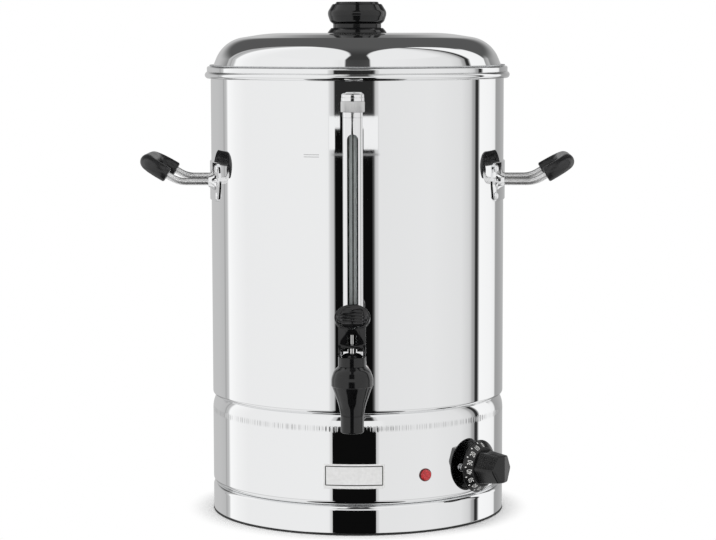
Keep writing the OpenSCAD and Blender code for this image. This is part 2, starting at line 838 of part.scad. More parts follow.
// Bent rod: one bar with two level legs, two knees and the crossbar's two corners
module handle_rod() {
    there = rod_half(-leg_y);
    back = rod_half(leg_y);
    tube(concat(there, [for (i = [len(back) - 1:-1:0]) back[i]]), rod_r, 16);
}

// Moulded grip over the crossbar, both corners and a little of each leg
module handle_grip() {
    tilted() difference() {
        union() {
            loop_top(grip_d/2, grip_leg - grip_round);
            for (y = [-leg_y, leg_y]) translate([top_reach - grip_leg, y, 0]) rotate([0, 90, 0])
                cylinder(r1 = grip_d/2 - grip_round, r2 = grip_d/2, h = grip_round, $fn = 48);
        }
        loop_top(rod_r + press_gap, grip_leg + cut);
    }
}

module handle_rod_right() {
    color("#cfd1d3") handle_rod();
}

module handle_rod_left() {
    color("#cfd1d3") mirror([1, 0, 0]) handle_rod();
}

module handle_grip_right() {
    color("#1a1a1a") handle_grip();
}

module handle_grip_left() {
    color("#1a1a1a") mirror([1, 0, 0]) handle_grip();
}

// Rivets with a domed head outside and a flat one inside the tank
module handle_rivets() {
    inside = sqrt(pow(inner_r, 2) - pow(rivet_head_r, 2));
    color("#c4c6c8")
    rivet_places() rotate_extrude($fn = 32) polygon(round_loop([
        [0, inside - rivet_head_h, 0], [rivet_head_r, inside - rivet_head_h, 0.5],
        [rivet_head_r, inside, 0], [rivet_d/2, inside, 0], [rivet_d/2, mount_r, 0],
        [rivet_head_r, mount_r, 0], [rivet_head_r*0.7, mount_r + rivet_head_h, 1],
        [0, mount_r + rivet_head_h, 0]]));
}

// ---------------------------------------------------------------- shank and gauge

// Plated fitting through the tank wall: it carries the tap and the gauge's socket
module tap_shank() {
    color("#c9c7c0")
    difference() {
        union() {
            bar_y(shank_d/2, shank_in - body_r, hex_y);
            bar_y(flange_d/2, flange_y, flange_y - flange_t);
            on_gauge(socket_foot) cylinder(r = socket_d/2, h = socket_z - socket_foot);
            hex_bar_y(hex_af, hex_y + 1, inlet_y);
            bar_y(tap_thread_d/2, gauge_y, thread_end_y);
        }
        bar_y(shank_bore/2, shank_in - body_r + cut, thread_end_y - cut);
        on_gauge(shank_z) cylinder(r = glass_bore/2, h = socket_rise);
        on_gauge(shield_foot) cylinder(r = shield_d/2 + press_gap, h = socket_depth + cut);
    }
}

// Two silicone washers, each cut to the tank's curve on one face
module shank_washers() {
    color("#b03a2e") {
        difference() {
            bar_y(flange_d/2, -inner_r, flange_y);
            bar_y(shank_d/2 + press_gap, 0, flange_y - cut);
            translate([0, 0, shank_z - flange_d]) cylinder(r = body_r, h = 2*flange_d);
        }
        intersection() {
            difference() {
                bar_y(flange_d/2, washer_t - inner_r + washer_t, -body_r);
                bar_y(shank_d/2 + press_gap, 0, -body_r - cut);
            }
            translate([0, 0, shank_z - flange_d]) cylinder(r = inner_r, h = 2*flange_d);
        }
    }
}

// Hexagon nut that pulls the shank tight from inside the tank
module shank_nut() {
    near = 2*washer_t - inner_r;
    color("#bfc1c3")
    difference() {
        hex_bar_y(nut_af, near + nut_t, near);
        bar_y(shank_d/2 + press_gap, near + nut_t + cut, near - cut);
    }
}

module gauge_glass() {
    color("#cfe3ea", 0.45)
    on_gauge(shield_foot) difference() {
        cylinder(r = glass_d/2, h = glass_top - shield_foot);
        translate([0, 0, -cut]) cylinder(r = glass_bore/2, h = glass_top - shield_foot + 2*cut);
    }
}

// Slotted tube round the glass
module gauge_shield() {
    low = slot_foot + slot_w/2;
    high = shield_h - slot_top - slot_w/2;
    color("#e2e3e4")
    on_gauge(shield_foot) difference() {
        cylinder(r = shield_d/2, h = shield_h);
        translate([0, 0, -cut]) cylinder(r = shield_d/2 - shield_t, h = shield_h + 2*cut);
        translate([-slot_w/2, -shield_d, low]) cube([slot_w, shield_d, high - low]);
        for (z = [low, high]) translate([0, 0, z]) rotate([90, 0, 0])
            cylinder(r = slot_w/2, h = shield_d);
    }
}

// Outline of a knurled ring: pointed teeth of depth d round radius r
function knurl_outline(r, d, n) = [
    for (i = [0:n - 1], k = [0, 1])
        let (a = (i + k/2)*360/n, s = k == 0 ? r : r - d) [s*cos(a), s*sin(a)]];

// Knurled cap on top of the shield, with a spigot inside it that holds the glass
module gauge_cap() {
    spigot_r = shield_d/2 - shield_t - press_gap;
    color("#d9dadb")
    on_gauge() difference() {
        union() {
            translate([0, 0, shield_top - spigot_h]) cylinder(r = spigot_r, h = spigot_h + cut);
            translate([0, 0, shield_top]) cylinder(r = shield_d/2, h = cap_ring_h);
            translate([0, 0, cap_z]) linear_extrude(knurl_h)
                polygon(knurl_outline(knurl_d/2, 0.5, knurl_n));
            translate([0, 0, cap_disc_z]) rotate_extrude() polygon(round_loop([[0, 0, 0],
                [cap_top_d/2, 0, 0], [cap_top_d/2, cap_top_h, 1.2], [0, cap_top_h, 0]]));
        }
        translate([0, 0, shield_top - spigot_h - cut])
            cylinder(r = glass_d/2 + press_gap, h = spigot_h + 2*cut + seal_h/2 + cap_ring_h);
        translate([0, 0, shield_top]) cylinder(r = 1.5, h = cap_ring_h + knurl_h + cap_top_h + cut);
    }
}

// Rubber ring round the foot of the glass and a washer on top of it
module gauge_seals() {
    color("#2a2a2a") {
        on_gauge(shield_foot) difference() {
            cylinder(r = shield_d/2 - shield_t - press_gap, h = seal_h);
            translate([0, 0, -cut]) cylinder(r = glass_d/2 + press_gap, h = seal_h + 2*cut);
        }
        on_gauge(glass_top) difference() {
            cylinder(r = glass_d/2, h = seal_h/2);
            translate([0, 0, -cut]) cylinder(r = glass_bore/2, h = seal_h);
        }
    }
}

// ---------------------------------------------------------------- tap

// Outside of the tap: spout, bulb and shoulder, as [radius, height above the spout's tip]
function tap_outline() = let (s = spout_d/2, b = bulb_d/2, top = shoulder_z - spout_z) round_loop([
    [0, 0, 0], [s, 0, 1.6], [s + 0.1, 14, 12], [s + 1.5, 22, 40],
    [b - 2.3, top - 20.5, 30], [b - 0.6, top - 16, 0], [b, top - 15.4, 0.4], [b, top - 9.4, 12],
    [b - 2.1, top - 3.4, 8], [bonnet_d/2, top, 0], [0, top, 0]]);

// Moulded tap body with its spout, valve seat, chamber and inlet neck
module tap_body() {
    color("#202022")
    difference() {
        union() {
            on_tap(spout_z) rotate_extrude() polygon(tap_outline());
            bar_y(inlet_d/2, inlet_y, tap_y);
        }
        on_tap() rotate_extrude() polygon([
            [0, spout_z - cut], [spout_bore/2, spout_z - cut], [spout_bore/2, seat_z],
            [seat_lip_r, seat_z], [seat_lip_r, seat_z - seat_lip_h],
            [chamber_floor_r, seat_z - seat_lip_h], [chamber_r, chamber_z], [chamber_r, chamber_top],
            [throat_r, throat_z],
            [throat_r, shoulder_z + cut], [0, shoulder_z + cut]]);
        bar_y(tap_thread_d/2 + press_gap, inlet_y + cut, tap_y);
    }
}

// Domed cap nut screwed into the top of the tap; the spring bears on its inside
module tap_bonnet() {
    spigot_z = throat_z + 0.5;
    color("#1b1b1d")
    on_tap() difference() {
        rotate_extrude() polygon(round_loop([
            [0, spigot_z, 0], [throat_r - press_gap, spigot_z, 0],
            [throat_r - press_gap, shoulder_z, 0], [bonnet_d/2, shoulder_z, 0.4],
            [bonnet_d/2, heel_z, 0.6], [bonnet_d/2 - 2.3, heel_z, 0],
            [bonnet_d/2 - 4.5, heel_z + bonnet_dome*0.75, 4], [0, heel_z + bonnet_dome, 0]]));
        translate([0, 0, spigot_z - cut])
            cylinder(r = spring_bore/2, h = spring_seat_z - spigot_z + cut);
        cylinder(r = stem_d/2 + run_gap, h = heel_z + bonnet_dome + cut);
    }
}

// Plated stem, with a collar that the spring pushes on and a cross hole for the pin
module tap_stem() {
    color("#c8cacc")
    on_tap() difference() {
        rotate_extrude() polygon(round_loop([
            [0, cup_top - 4, 0], [stem_d/2, cup_top - 4, 0], [stem_d/2, cup_top, 0],
            [spring_d/2 + spring_wire, cup_top, 0.3],
            [spring_d/2 + spring_wire, cup_top + collar_t, 0.3],
            [stem_d/2, cup_top + collar_t, 0], [stem_d/2, stem_top, 0.8], [0, stem_top, 0]]));
        translate([-stem_d, 0, pin_z]) rotate([0, 90, 0])
            cylinder(r = pin_d/2 + run_gap, h = 2*stem_d);
    }
}

// Soft silicone cup that closes on the seat
module tap_seat_cup() {
    color("#d9d4c7")
    on_tap() rotate_extrude() polygon(round_loop([
        [0, seat_z + 1.2, 0], [spout_bore/2 - 2, seat_z + 1.2, 2], [spout_bore/2, seat_z, 0],
        [cup_d/2, seat_z, 0.5], [cup_d/2, seat_z + cup_h*0.45, 2.5], [stem_d/2 + 2.6, cup_top, 1],
        [stem_d/2 + press_gap, cup_top, 0], [stem_d/2 + press_gap, cup_top - 4, 0],
        [0, cup_top - 4, 0]]));
}

// Points of ring i of a round wire wound up as a helix
function helix_ring(i, n, turns, r, wire, z0, z1) =
    let (a = 360*turns*i/n, z = z0 + (z1 - z0)*i/n)
    [for (k = [0:5]) let (b = k*60, s = r + wire/2*cos(b)) [s*cos(a), s*sin(a), z + wire/2*sin(b)]];

// The valve spring: one unbroken wire, wound by formula
module tap_spring() {
    n = 10*spring_turns;
    z0 = cup_top + collar_t + spring_wire/2 + press_gap;
    z1 = spring_seat_z - spring_wire/2 - press_gap;
    rings = [for (i = [0:n]) each helix_ring(i, n, spring_turns, spring_d/2, spring_wire, z0, z1)];
    sides = [for (i = [0:n - 1], k = [0:5], f = [0, 1])
        let (a = 6*i + k, b = 6*i + (k + 1) % 6) f == 0 ? [a, a + 6, b] : [b, a + 6, b + 6]];
    color("#b8bbbe")
    on_tap() polyhedron(rings, concat(sides, [[for (k = [0:5]) k], [for (k = [5:-1:0]) 6*n + k]]));
}

// Cam on the heel: an involute, so that the flat bonnet is met cam_arm in front of the pin at any tilt
function cam(t) =
    let (h = pin_rise + cam_arm*t*PI/180) [-h*sin(t) - cam_arm*cos(t), -h*cos(t) + cam_arm*sin(t)];

// Outline of a lever cheek, seen from the right: [distance behind the pin, height above it]
function cheek_outline() =
    let (d = lever_depth/2, n = [-cos(pad_tilt), sin(pad_tilt)], c = [pad_back, pad_rise] - n*pad_root,
         s = n[0]/n[1], toe = cam(lever_tilt))
    round_loop(concat(
        [[heel_back, -pin_rise, 0.6], [d, -pin_rise + 6, 2], [d, c[1] - (d - c[0])*s, 0],
         [-d, c[1] - (-d - c[0])*s, 0], [-d, front_foot + 3, 4], [toe[0], toe[1] + 1.5, 0.7]],
        sharp([for (i = [8:-1:0]) cam(lever_tilt*i/8)])));

// Extrudes an outline of the pin's upright plane sideways from x1 to x2
module side_slab(outline, x1, x2) {
    translate([x1, 0, 0]) rotate([90, 0, 90]) linear_extrude(x2 - x1) polygon(outline);
}

// The part of a solid lever that lies between y1 and y1 + lever_wall, from z1 up
module lever_wall_at(y1, z1) {
    intersection() {
        side_slab(cheek_outline(), -lever_w/2, lever_w/2);
        translate([-lever_w/2, y1, z1]) cube([lever_w, lever_wall, pad_rise]);
    }
}

// Lever: two cheeks, a front wall with a window, a back wall split for the stem, and a thumb pad
module tap_lever() {
    half = lever_w/2;
    d = lever_depth/2;
    color("#19191b")
    translate([0, tap_y, pin_z]) difference() {
        union() {
            for (x = [-half, half - lever_wall]) side_slab(cheek_outline(), x, x + lever_wall);
            lever_wall_at(-d, front_foot);
            difference() {
                lever_wall_at(d - lever_wall, back_foot);
                translate([-stem_slot/2, 0, -d]) cube([stem_slot, 2*d, pad_rise + d]);
            }
            translate([0, pad_back, pad_rise]) rotate([90 - pad_tilt, 0, 0]) thumb_pad();
        }
        translate([-window_w/2, -d - cut, window_rise]) cube([window_w, lever_wall + 2*cut, window_h]);
        translate([-half - cut, 0, 0]) rotate([0, 90, 0])
            cylinder(r = pin_d/2 + press_gap, h = lever_w + 2*cut);
    }
}

// Round pad whose face is at z = 0, dished inside its rim and ribbed across
module thumb_pad() {
    rim = 1.8;
    dish_r = pad_d/2 - rim;
    pitch = 2*dish_r/(pad_ribs + 2);
    difference() {
        rotate_extrude() polygon(round_loop([[0, -pad_t, 0], [pad_d/2 - 1, -pad_t, 0],
            [pad_d/2, -pad_t + 1.5, 1], [pad_d/2, 0, 0.6], [0, 0, 0]]));
        difference() {
            translate([0, 0, -pad_dish]) cylinder(r = dish_r, h = pad_dish + cut);
            for (i = [0:pad_ribs - 1])
                translate([-dish_r*0.62, (i - (pad_ribs - 1)/2)*pitch - pitch/4, -pad_dish - cut])
                    cube([dish_r*1.24, pitch/2, cut + pad_dish*0.7]);
        }
    }
}

module tap_lever_pin() {
    color("#a9acaf")
    translate([-lever_w/2 + 0.3, tap_y, pin_z]) rotate([0, 90, 0])
        cylinder(r = pin_d/2, h = lever_w - 0.6);
}

// ---------------------------------------------------------------- thermostat

// Capillary thermostat: case, front plate and the bush that the spindle turns in
module thermostat_case() {
    color("#c7c9cb")
    on_wall(dial_azimuth, dial_z) difference() {
        union() {
            translate([-case_plate_w/2, -case_plate_h/2, case_front - case_t])
                cube([case_plate_w, case_plate_h, case_t]);
            translate([0, 0, case_back]) rotate_extrude() polygon(round_loop([[0, 0, 0],
                [case_d/2, 0, 2], [case_d/2, case_h + case_t/2, 0], [0, case_h + case_t/2, 0]]));
            translate([0, 0, case_front - cut]) cylinder(r = bush_d/2, h = bush_out - case_front + cut);
            for (x = [-case_tab_x, case_tab_x]) translate([x, 0, case_back - tab_len])
                tab(tab_w, tab_t);
        }
        translate([0, 0, spindle_in - hole_gap]) cylinder(r = spindle_d/2 + run_gap, h = 40);
        for (x = [-case_screw_x, case_screw_x])
            translate([x, 0, case_front - case_t - 8]) cylinder(r = case_screw_r + press_gap, h = 10);
    }
}

// A flat terminal tab that points down from its root
module tab(w, t) {
    translate([-w/2, -t/2, 0]) cube([w, t, tab_len + weld]);
}

// Two screws from outside the drum, hidden under the dial's skirt
module thermostat_screws() {
    color("#8d9093")
    for (x = [-case_screw_x, case_screw_x])
        on_wall(dial_azimuth, dial_z, case_screw_seat) translate([x, 0, 0]) mirror([0, 0, 1])
            pan_screw(case_screw_r, case_screw_head_r, 1.9, case_screw_seat - case_front + case_t + 4);
}

// D-shaped end that keeps the dial from slipping on its spindle
module spindle_bar(r, from, to, flat) {
    difference() {
        translate([0, 0, from]) cylinder(r = r, h = to - from, $fn = 48);
        translate([-r - cut, -r - cut, skirt_back + 1])
            cube([2*(r + cut), cut + flat, to - skirt_back]);
    }
}

module thermostat_spindle() {
    color("#b7babd")
    on_wall(dial_azimuth, dial_z) spindle_bar(spindle_d/2, spindle_in, spindle_out, spindle_flat);
}

// Dial: a skirt for the numbers and a six-sided grip whose front falls away from a ridge
module thermostat_dial() {
    foot = skirt_front - skirt_back;
    r1 = dial_grip_d1/2;
    r2 = dial_grip_d2/2;
    color("#1d1d1f")
    on_wall(dial_azimuth, dial_z) difference() {
        union() {
            translate([0, 0, skirt_back]) rotate_extrude() polygon(round_loop([
                [0, 0, 0], [skirt_d/2 - 0.6, 0, 0], [skirt_d/2, skirt_rim/2, 0.5],
                [skirt_d/2 - 0.4, skirt_rim, 0], [r1 + 0.5, foot, 1], [0, foot, 0]]));
            translate([0, 0, skirt_front - 0.5]) intersection() {
                cylinder(r1 = r1, r2 = r2, h = dial_grip_h + 0.5, $fn = 6);
                translate([0, r1, 0]) rotate([90, 0, 0]) linear_extrude(2*r1) polygon([
                    [-r1, 0], [r1, 0], [r1, dial_grip_h - 2.5*dial_ridge], [r2, dial_grip_h - dial_ridge],
                    [0, dial_grip_h + 0.5], [-r2, dial_grip_h - dial_ridge],
                    [-r1, dial_grip_h - 2.5*dial_ridge]]);
            }
        }
        spindle_bar(spindle_d/2 + press_gap, skirt_back - cut, spindle_out + hole_gap,
            spindle_flat - press_gap);
        translate([0, 0, skirt_back - cut]) difference() {
            cylinder(r = skirt_d/2 - 2.5, h = cut + 2);
            cylinder(r = spindle_d/2 + 3, h = cut + 2);
        }
    }
}

// Copper bulb under the heat spreader, with its capillary tube to the thermostat
module temperature_probe() {
    from = [probe_len/2 - weld, -probe_off, probe_z];
    to = wall_point(dial_azimuth, dial_z + case_d/4, case_back);
    color("#b8794f") {
        translate([-probe_len/2, -probe_off, probe_z]) rotate([0, 90, 0])
            cylinder(r = probe_d/2, h = probe_len, $fn = 48);
        tube(bow(from, [1, 0, 0], to, -outward(dial_azimuth), 2, probe_len/2, 20), capillary_d/2, 6);
    }
}

// Two straps that hold the bulb to the heat spreader
module probe_clips() {
    strap = 0.6;
    r = probe_d/2 + strap + press_gap;
    color("#9c9fa2")
    for (x = [-probe_len/4, probe_len/4]) translate([x - 4, -probe_off, probe_z]) rotate([90, 0, 90])
        linear_extrude(8) difference() {
            union() {
                circle(r = r);
                translate([-r, 0]) square([2*r, probe_d/2]);
                translate([-r - 6, probe_d/2 - strap]) square([2*r + 12, strap]);
            }
            circle(r = r - strap);
            translate([strap - r, 0]) square([2*(r - strap), probe_d]);
        }
}

// ---------------------------------------------------------------- lamp

module lamp_lens() {
    color("#c62828")
    on_wall(lamp_azimuth, lamp_z, body_r) rotate_extrude($fn = 48) polygon(round_loop([
        [0, 0, 0], [lens_d/2, 0, 0], [lens_d/2, lens_lip, 0.3], [lens_d/2 - 0.8, lens_lip, 0],
        [lens_d/2 - 1.2, lens_h, 1.4], [0, lens_h, 0]]));
}

// Sealed lamp body through the drum wall, with two tabs
module lamp_body() {
    color("#ece9e2")
    on_wall(lamp_azimuth, lamp_z) union() {
        translate([0, 0, lamp_back]) cylinder(r = lamp_d/2, h = lamp_len, $fn = 48);
        for (x = [-lamp_tab_x, lamp_tab_x]) translate([x, 0, lamp_back - tab_len])
            tab(tab_t, lamp_tab_w);
    }
}

// Push-on spring washer that holds the lamp from inside
module lamp_retainer() {
    w = lamp_d + 8;
    color("#a5a8ab")
    on_wall(lamp_azimuth, lamp_z, flat_seat(w) - 0.6) linear_extrude(0.6) difference() {
        circle(r = w/2);
        circle(r = lamp_d/2 + press_gap);
    }
}

// ---------------------------------------------------------------- heater

module heat_spreader() {
    color("#c2c6ca")
    translate([0, 0, spreader_z]) cylinder(r = spreader_d/2, h = spreader_t);
}

// Tubular element: an open ring with two ends bent down
module heating_element() {
    color("#8b8e86")
    translate([0, 0, element_z]) for (m = [0, 1]) mirror([m, 0, 0])
        rotate([0, 0, pin_turn]) {
            bend(element_r, element_d/2, 180 - element_gap/2 + 0.02);
            translate([element_r, 0, -elbow_r]) {
                rotate([90, 0, -90]) bend(elbow_r, element_d/2, 90);
                translate([0, -elbow_r, elbow_r - element_leg])
                    cylinder(r = element_d/2, h = element_leg - elbow_r, $fn = 48);
                translate([0, -elbow_r, elbow_r - element_leg - pin_tip_len])
                    cylinder(r = pin_tip_r, h = pin_tip_len + cut, $fn = 32);
            }
        }
}

// Snap-action disc switch that cuts the power when the tank boils dry
module boil_dry_cutout() {
    color("#3b3b3d")
    translate([0, 0, cutout_z]) union() {
        rotate_extrude() polygon(round_loop([[0, 0, 0], [cutout_d/2, 0, 1],
            [cutout_d/2, cutout_h - 1.5, 0], [cutout_d/2 + 1, cutout_h - 1.5, 0.4],
            [cutout_d/2 + 1, cutout_h, 0], [0, cutout_h, 0]]));
        for (x = [-cutout_tab_x, cutout_tab_x]) translate([x, 0, -tab_len]) tab(tab_t, tab_w);
    }
}

// ---------------------------------------------------------------- cable entry

// Bushed cable entry at the back
module cable_gland() {
    color("#242426")
    on_wall(180, gland_z, body_r) difference() {
        union() {
            rotate_extrude() polygon(round_loop([[0, 0, 0], [gland_flange_d/2, 0, 0],
                [gland_flange_d/2, gland_flange_t*0.5, 0.8], [gland_d/2, gland_flange_t, 0.8],
                [0, gland_flange_t, 0]]));
            translate([0, 0, -gland_len]) cylinder(r = gland_d/2, h = gland_len + cut);
        }
        translate([0, 0, -gland_len - cut])
            cylinder(r = gland_bore/2, h = gland_len + gland_flange_t + 2*cut);
    }
}

module gland_nut() {
    color("#2c2c2e")
    on_wall(180, gland_z, gland_seat - gland_nut_t) difference() {
        cylinder(r = gland_nut_af/2/cos(30), h = gland_nut_t, $fn = 6);
        translate([0, 0, -cut]) cylinder(r = gland_d/2 + press_gap, h = gland_nut_t + 2*cut);
    }
}

// Ceramic terminal block on the base plate, in front of the cable entry
module terminal_block() {
    color("#e6e1d6")
    translate([-block_len/2, block_off - block_w/2, plate_top]) difference() {
        cube([block_len, block_w, block_h]);
        for (i = [0:block_n - 1]) translate([(i + 0.5)*pole, 0, 0]) {
            translate([0, block_w + cut, block_bore_z]) rotate([90, 0, 0])
                cylinder(r = wire_d/2 + press_gap, h = block_w + 2*cut, $fn = 32);
            for (y = [block_w*0.25, block_w*0.75]) translate([0, y, block_h*0.5])
                cylinder(r = pole*0.25, h = block_h, $fn = 32);
        }
        for (i = [1:block_n - 1]) translate([i*pole - 0.6, -cut, block_h*0.3])
            cube([1.2, block_w + 2*cut, block_h]);
    }
}

// Earth stud with its nut and washer
module earth_stud() {
    base = plate_top + earth_pad_h;
    color("#b9a25a")
    earth_place() union() {
        translate([0, 0, plate_z]) cylinder(r = earth_d/2, h = earth_len, $fn = 48);
        translate([0, 0, base]) cylinder(r = earth_d*1.1, h = 1, $fn = 48);
        translate([0, 0, base + 1]) cylinder(r = earth_d*0.92, h = earth_d*0.8, $fn = 6);
    }
}

// ---------------------------------------------------------------- wiring

// Insulating boot pushed over a tab of w by t; its closed end is at z = 0
module boot(w, t) {
    difference() {
        translate([-w/2 - boot_wall, -t/2 - boot_wall, 0])
            cube([w + 2*boot_wall, t + 2*boot_wall, boot_len]);
        translate([-w/2 - press_gap, -t/2 - press_gap, boot_end])
            cube([w + 2*press_gap, t + 2*press_gap, boot_len]);
    }
}

// A wire between two ends, each given as its point and the direction in which it leaves
module wire(a, u, b, v, reach = wire_reach) {
    tube(bow(a, u, b, v, wire_in + 1, reach, 12), wire_d/2, 8);
}

// Ends of the wires: poles of the terminal block, tabs of the thermostat, cut-out and lamp, and
// the element's pins (side is -1 or 1)
function pole_end(i) =
    [(i + 0.5)*pole - block_len/2, block_off - block_w/2 + wire_in, plate_top + block_bore_z];
function case_end(side) =
    wall_point(dial_azimuth, dial_z, case_back - tab_len - boot_end + weld, side*case_tab_x);
function lamp_end(side) =
    wall_point(lamp_azimuth, lamp_z, lamp_back - tab_len - boot_end + weld, side*lamp_tab_x);
function cutout_end(side) = [side*cutout_tab_x, 0, cutout_z - tab_len - boot_end + weld];
function pin_end(side) = [side*(element_r*cos(pin_turn) + elbow_r*sin(pin_turn)),
    element_r*sin(pin_turn) - elbow_r*cos(pin_turn), pin_bottom - boot_end + weld];

module case_boot(side) {
    on_wall(dial_azimuth, dial_z, case_back - tab_len - boot_end)
        translate([side*case_tab_x, 0, 0]) boot(tab_w, tab_t);
}

module cutout_boot(side) {
    translate([side*cutout_tab_x, 0, cutout_z - tab_len - boot_end]) boot(tab_t, tab_w);
}

module pin_boot(side) {
    translate(pin_end(side) - [0, 0, weld]) boot(2*pin_tip_r, 2*pin_tip_r);
}

// Live wire to the thermostat and neutral wire to the element
module supply_wires() {
    back = [0, -1, 0];
    down = [0, 0, -1];
    color("#8a5a3c") {
        wire(pole_end(0), back, case_end(-1), -outward(dial_azimuth));
        case_boot(-1);
    }
    color("#2f5f9e") {
        wire(pole_end(1), back, pin_end(1), down);
        pin_boot(1);
    }
}

// Wires from the thermostat to the cut-out and from there to the element
module heater_wires() {
    down = [0, 0, -1];
    color("#8a5a3c") {
        wire(case_end(1), -outward(dial_azimuth), cutout_end(1), down);
        case_boot(1);
        cutout_boot(1);
        wire(cutout_end(-1), down, pin_end(-1), down);
        cutout_boot(-1);
        pin_boot(-1);
    }
}

// Two wires from the lamp to the boots on the element's pins
module lamp_wires() {
    side_y = pin_tip_r + boot_wall + press_gap;
    color("#d8d4c8")
    for (side = [-1, 1]) {
        wire(lamp_end(side), -outward(lamp_azimuth), pin_end(side) + [0, -side_y, boot_len/2],
            [0, -1, 0], wire_reach*(side < 0 ? 1 : 0.5));
        on_wall(lamp_azimuth, lamp_z, lamp_back - tab_len - boot_end)
            translate([side*lamp_tab_x, 0, 0]) boot(tab_t, lamp_tab_w);
    }
}

// Wire from the terminal block to a ring tag on the earth stud
module earth_wire() {
    tag_r = earth_d;
    tag_t = 1.6;
    centre = [earth_off, earth_off, earth_tag_z + tag_t/2];
    color("#7fa03a") {
        wire(pole_end(block_n - 1), [0, -1, 0], centre - [tag_r - weld, 0, 0], [-1, 0, 0],
            wire_reach/3);
        translate([earth_off, earth_off, earth_tag_z]) difference() {
            cylinder(r = tag_r, h = tag_t, $fn = 48);
            translate([0, 0, -cut]) cylinder(r = earth_d/2 + press_gap, h = tag_t + 2*cut, $fn = 48);
        }
    }
}

// ---------------------------------------------------------------- lid

// Outside of the lid, from the bottom of its band to the knob's seat
function lid_path() =
    let (foot_r = body_r - dome_in)
    round_path([
        [body_r + band_out, rim_z, 0], [body_r + band_out, band_z, 1.4], [foot_r, band_z, 0.8],
        [foot_r - dome_side_in, lid_top - crown_drop, dome_shoulder_r],
        [crown_d/2, lid_top, crown_r], [0, lid_top, 0]], 0.75);

// Domed lid pressed from sheet, with a turned-down band that sits on the rim
module lid_shell() {
    color("#dcdee0")
    difference() {
        rotate_extrude() polygon(sheet(lid_path(), sheet_t));
        translate([0, 0, lid_top - 3]) cylinder(r = lid_screw_d/2 + hole_gap, h = 6);
    }
}

// Ring welded inside the lid that keeps it central in the tank's mouth
module lid_locating_ring() {
    r = inner_r - lid_gap - sheet_t;
    color("#cfd2d4")
    rotate_extrude() polygon(sheet(round_path([
        [r, band_z - sheet_t - locator_h, 0], [r, band_z - sheet_t, 1],
        [body_r + band_out - 2*sheet_t - 0.6, band_z - sheet_t, 0]]), -sheet_t));
}

// Heat-proof collar between the lid and the knob
module lid_knob_collar() {
    color("#18181a")
    translate([0, 0, lid_top]) difference() {
        rotate_extrude() polygon(round_loop([[0, 0, 0], [collar_d/2, 0, 0.4],
            [collar_d/2 - 1.8, collar_h*0.6, 2], [collar_d/2 - 3.4, collar_h, 0.4], [0, collar_h, 0]]));
        translate([0, 0, -cut]) cylinder(r = lid_screw_d/2 + hole_gap, h = collar_h + 2*cut);
    }
}

// Turned knob: neck, bulge and a stepped flat top
module lid_knob() {
    r = knob_d/2;
    color("#141416")
    translate([0, 0, lid_top + collar_h]) difference() {
        rotate_extrude() polygon(round_loop([
            [0, 0, 0], [knob_neck_d/2, 0, 0], [knob_neck_d/2, knob_h*0.16, 0.6],
            [r - 1.8, knob_h*0.25, 4], [r, knob_h*0.49, 8], [r, knob_h*0.63, 7],
            [r*0.84, knob_h*0.92, 6], [r*0.755, knob_h*0.92, 0], [r*0.71, knob_h, 0.8],
            [0, knob_h, 0]]));
        translate([0, 0, -cut])
            cylinder(r = lid_screw_d/2 + press_gap, h = lid_screw_grip + cut + hole_gap);
    }
}

// Screw from under the lid, with a washer below the sheet
module lid_screw() {
    under = lid_top - sheet_t;
    color("#aeb1b4")
    union() {
        translate([0, 0, under - 1]) cylinder(r = lid_screw_d*1.1, h = 1);
        translate([0, 0, under - 1]) pan_screw(lid_screw_d/2, lid_screw_d*0.85, 3,
            1 + sheet_t + collar_h + lid_screw_grip);
    }
}

foot_ring();
plinth_ring();
base_plate();
base_screws();
base_drum();
tank_wall();
tank_floor();
handle_plate_left();
handle_plate_right();
handle_rod_left();
handle_rod_right();
handle_grip_left();
handle_grip_right();
handle_rivets();
tap_shank();
shank_washers();
shank_nut();
tap_body();
tap_bonnet();
tap_stem();
tap_seat_cup();
tap_spring();
tap_lever();
tap_lever_pin();
gauge_glass();
gauge_shield();
gauge_cap();
gauge_seals();
thermostat_case();
thermostat_screws();
thermostat_spindle();
thermostat_dial();
temperature_probe();
probe_clips();
lamp_lens();
lamp_body();
lamp_retainer();
heat_spreader();
heating_element();
boil_dry_cutout();
cable_gland();
gland_nut();
terminal_block();
earth_stud();
supply_wires();
heater_wires();
lamp_wires();
earth_wire();
lid_shell();
lid_locating_ring();
lid_knob_collar();
lid_knob();
lid_screw();
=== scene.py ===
"""Dresses the hot water urn: polished steel, black mouldings, glass, and a plain studio round it.

Lengths in the profiles are millimetres on the urn's own axes; metres everywhere else.
"""

import json
import math
from functools import partialmethod

import bmesh
import bpy
import numpy as np
from mathutils import Euler, Matrix, Vector

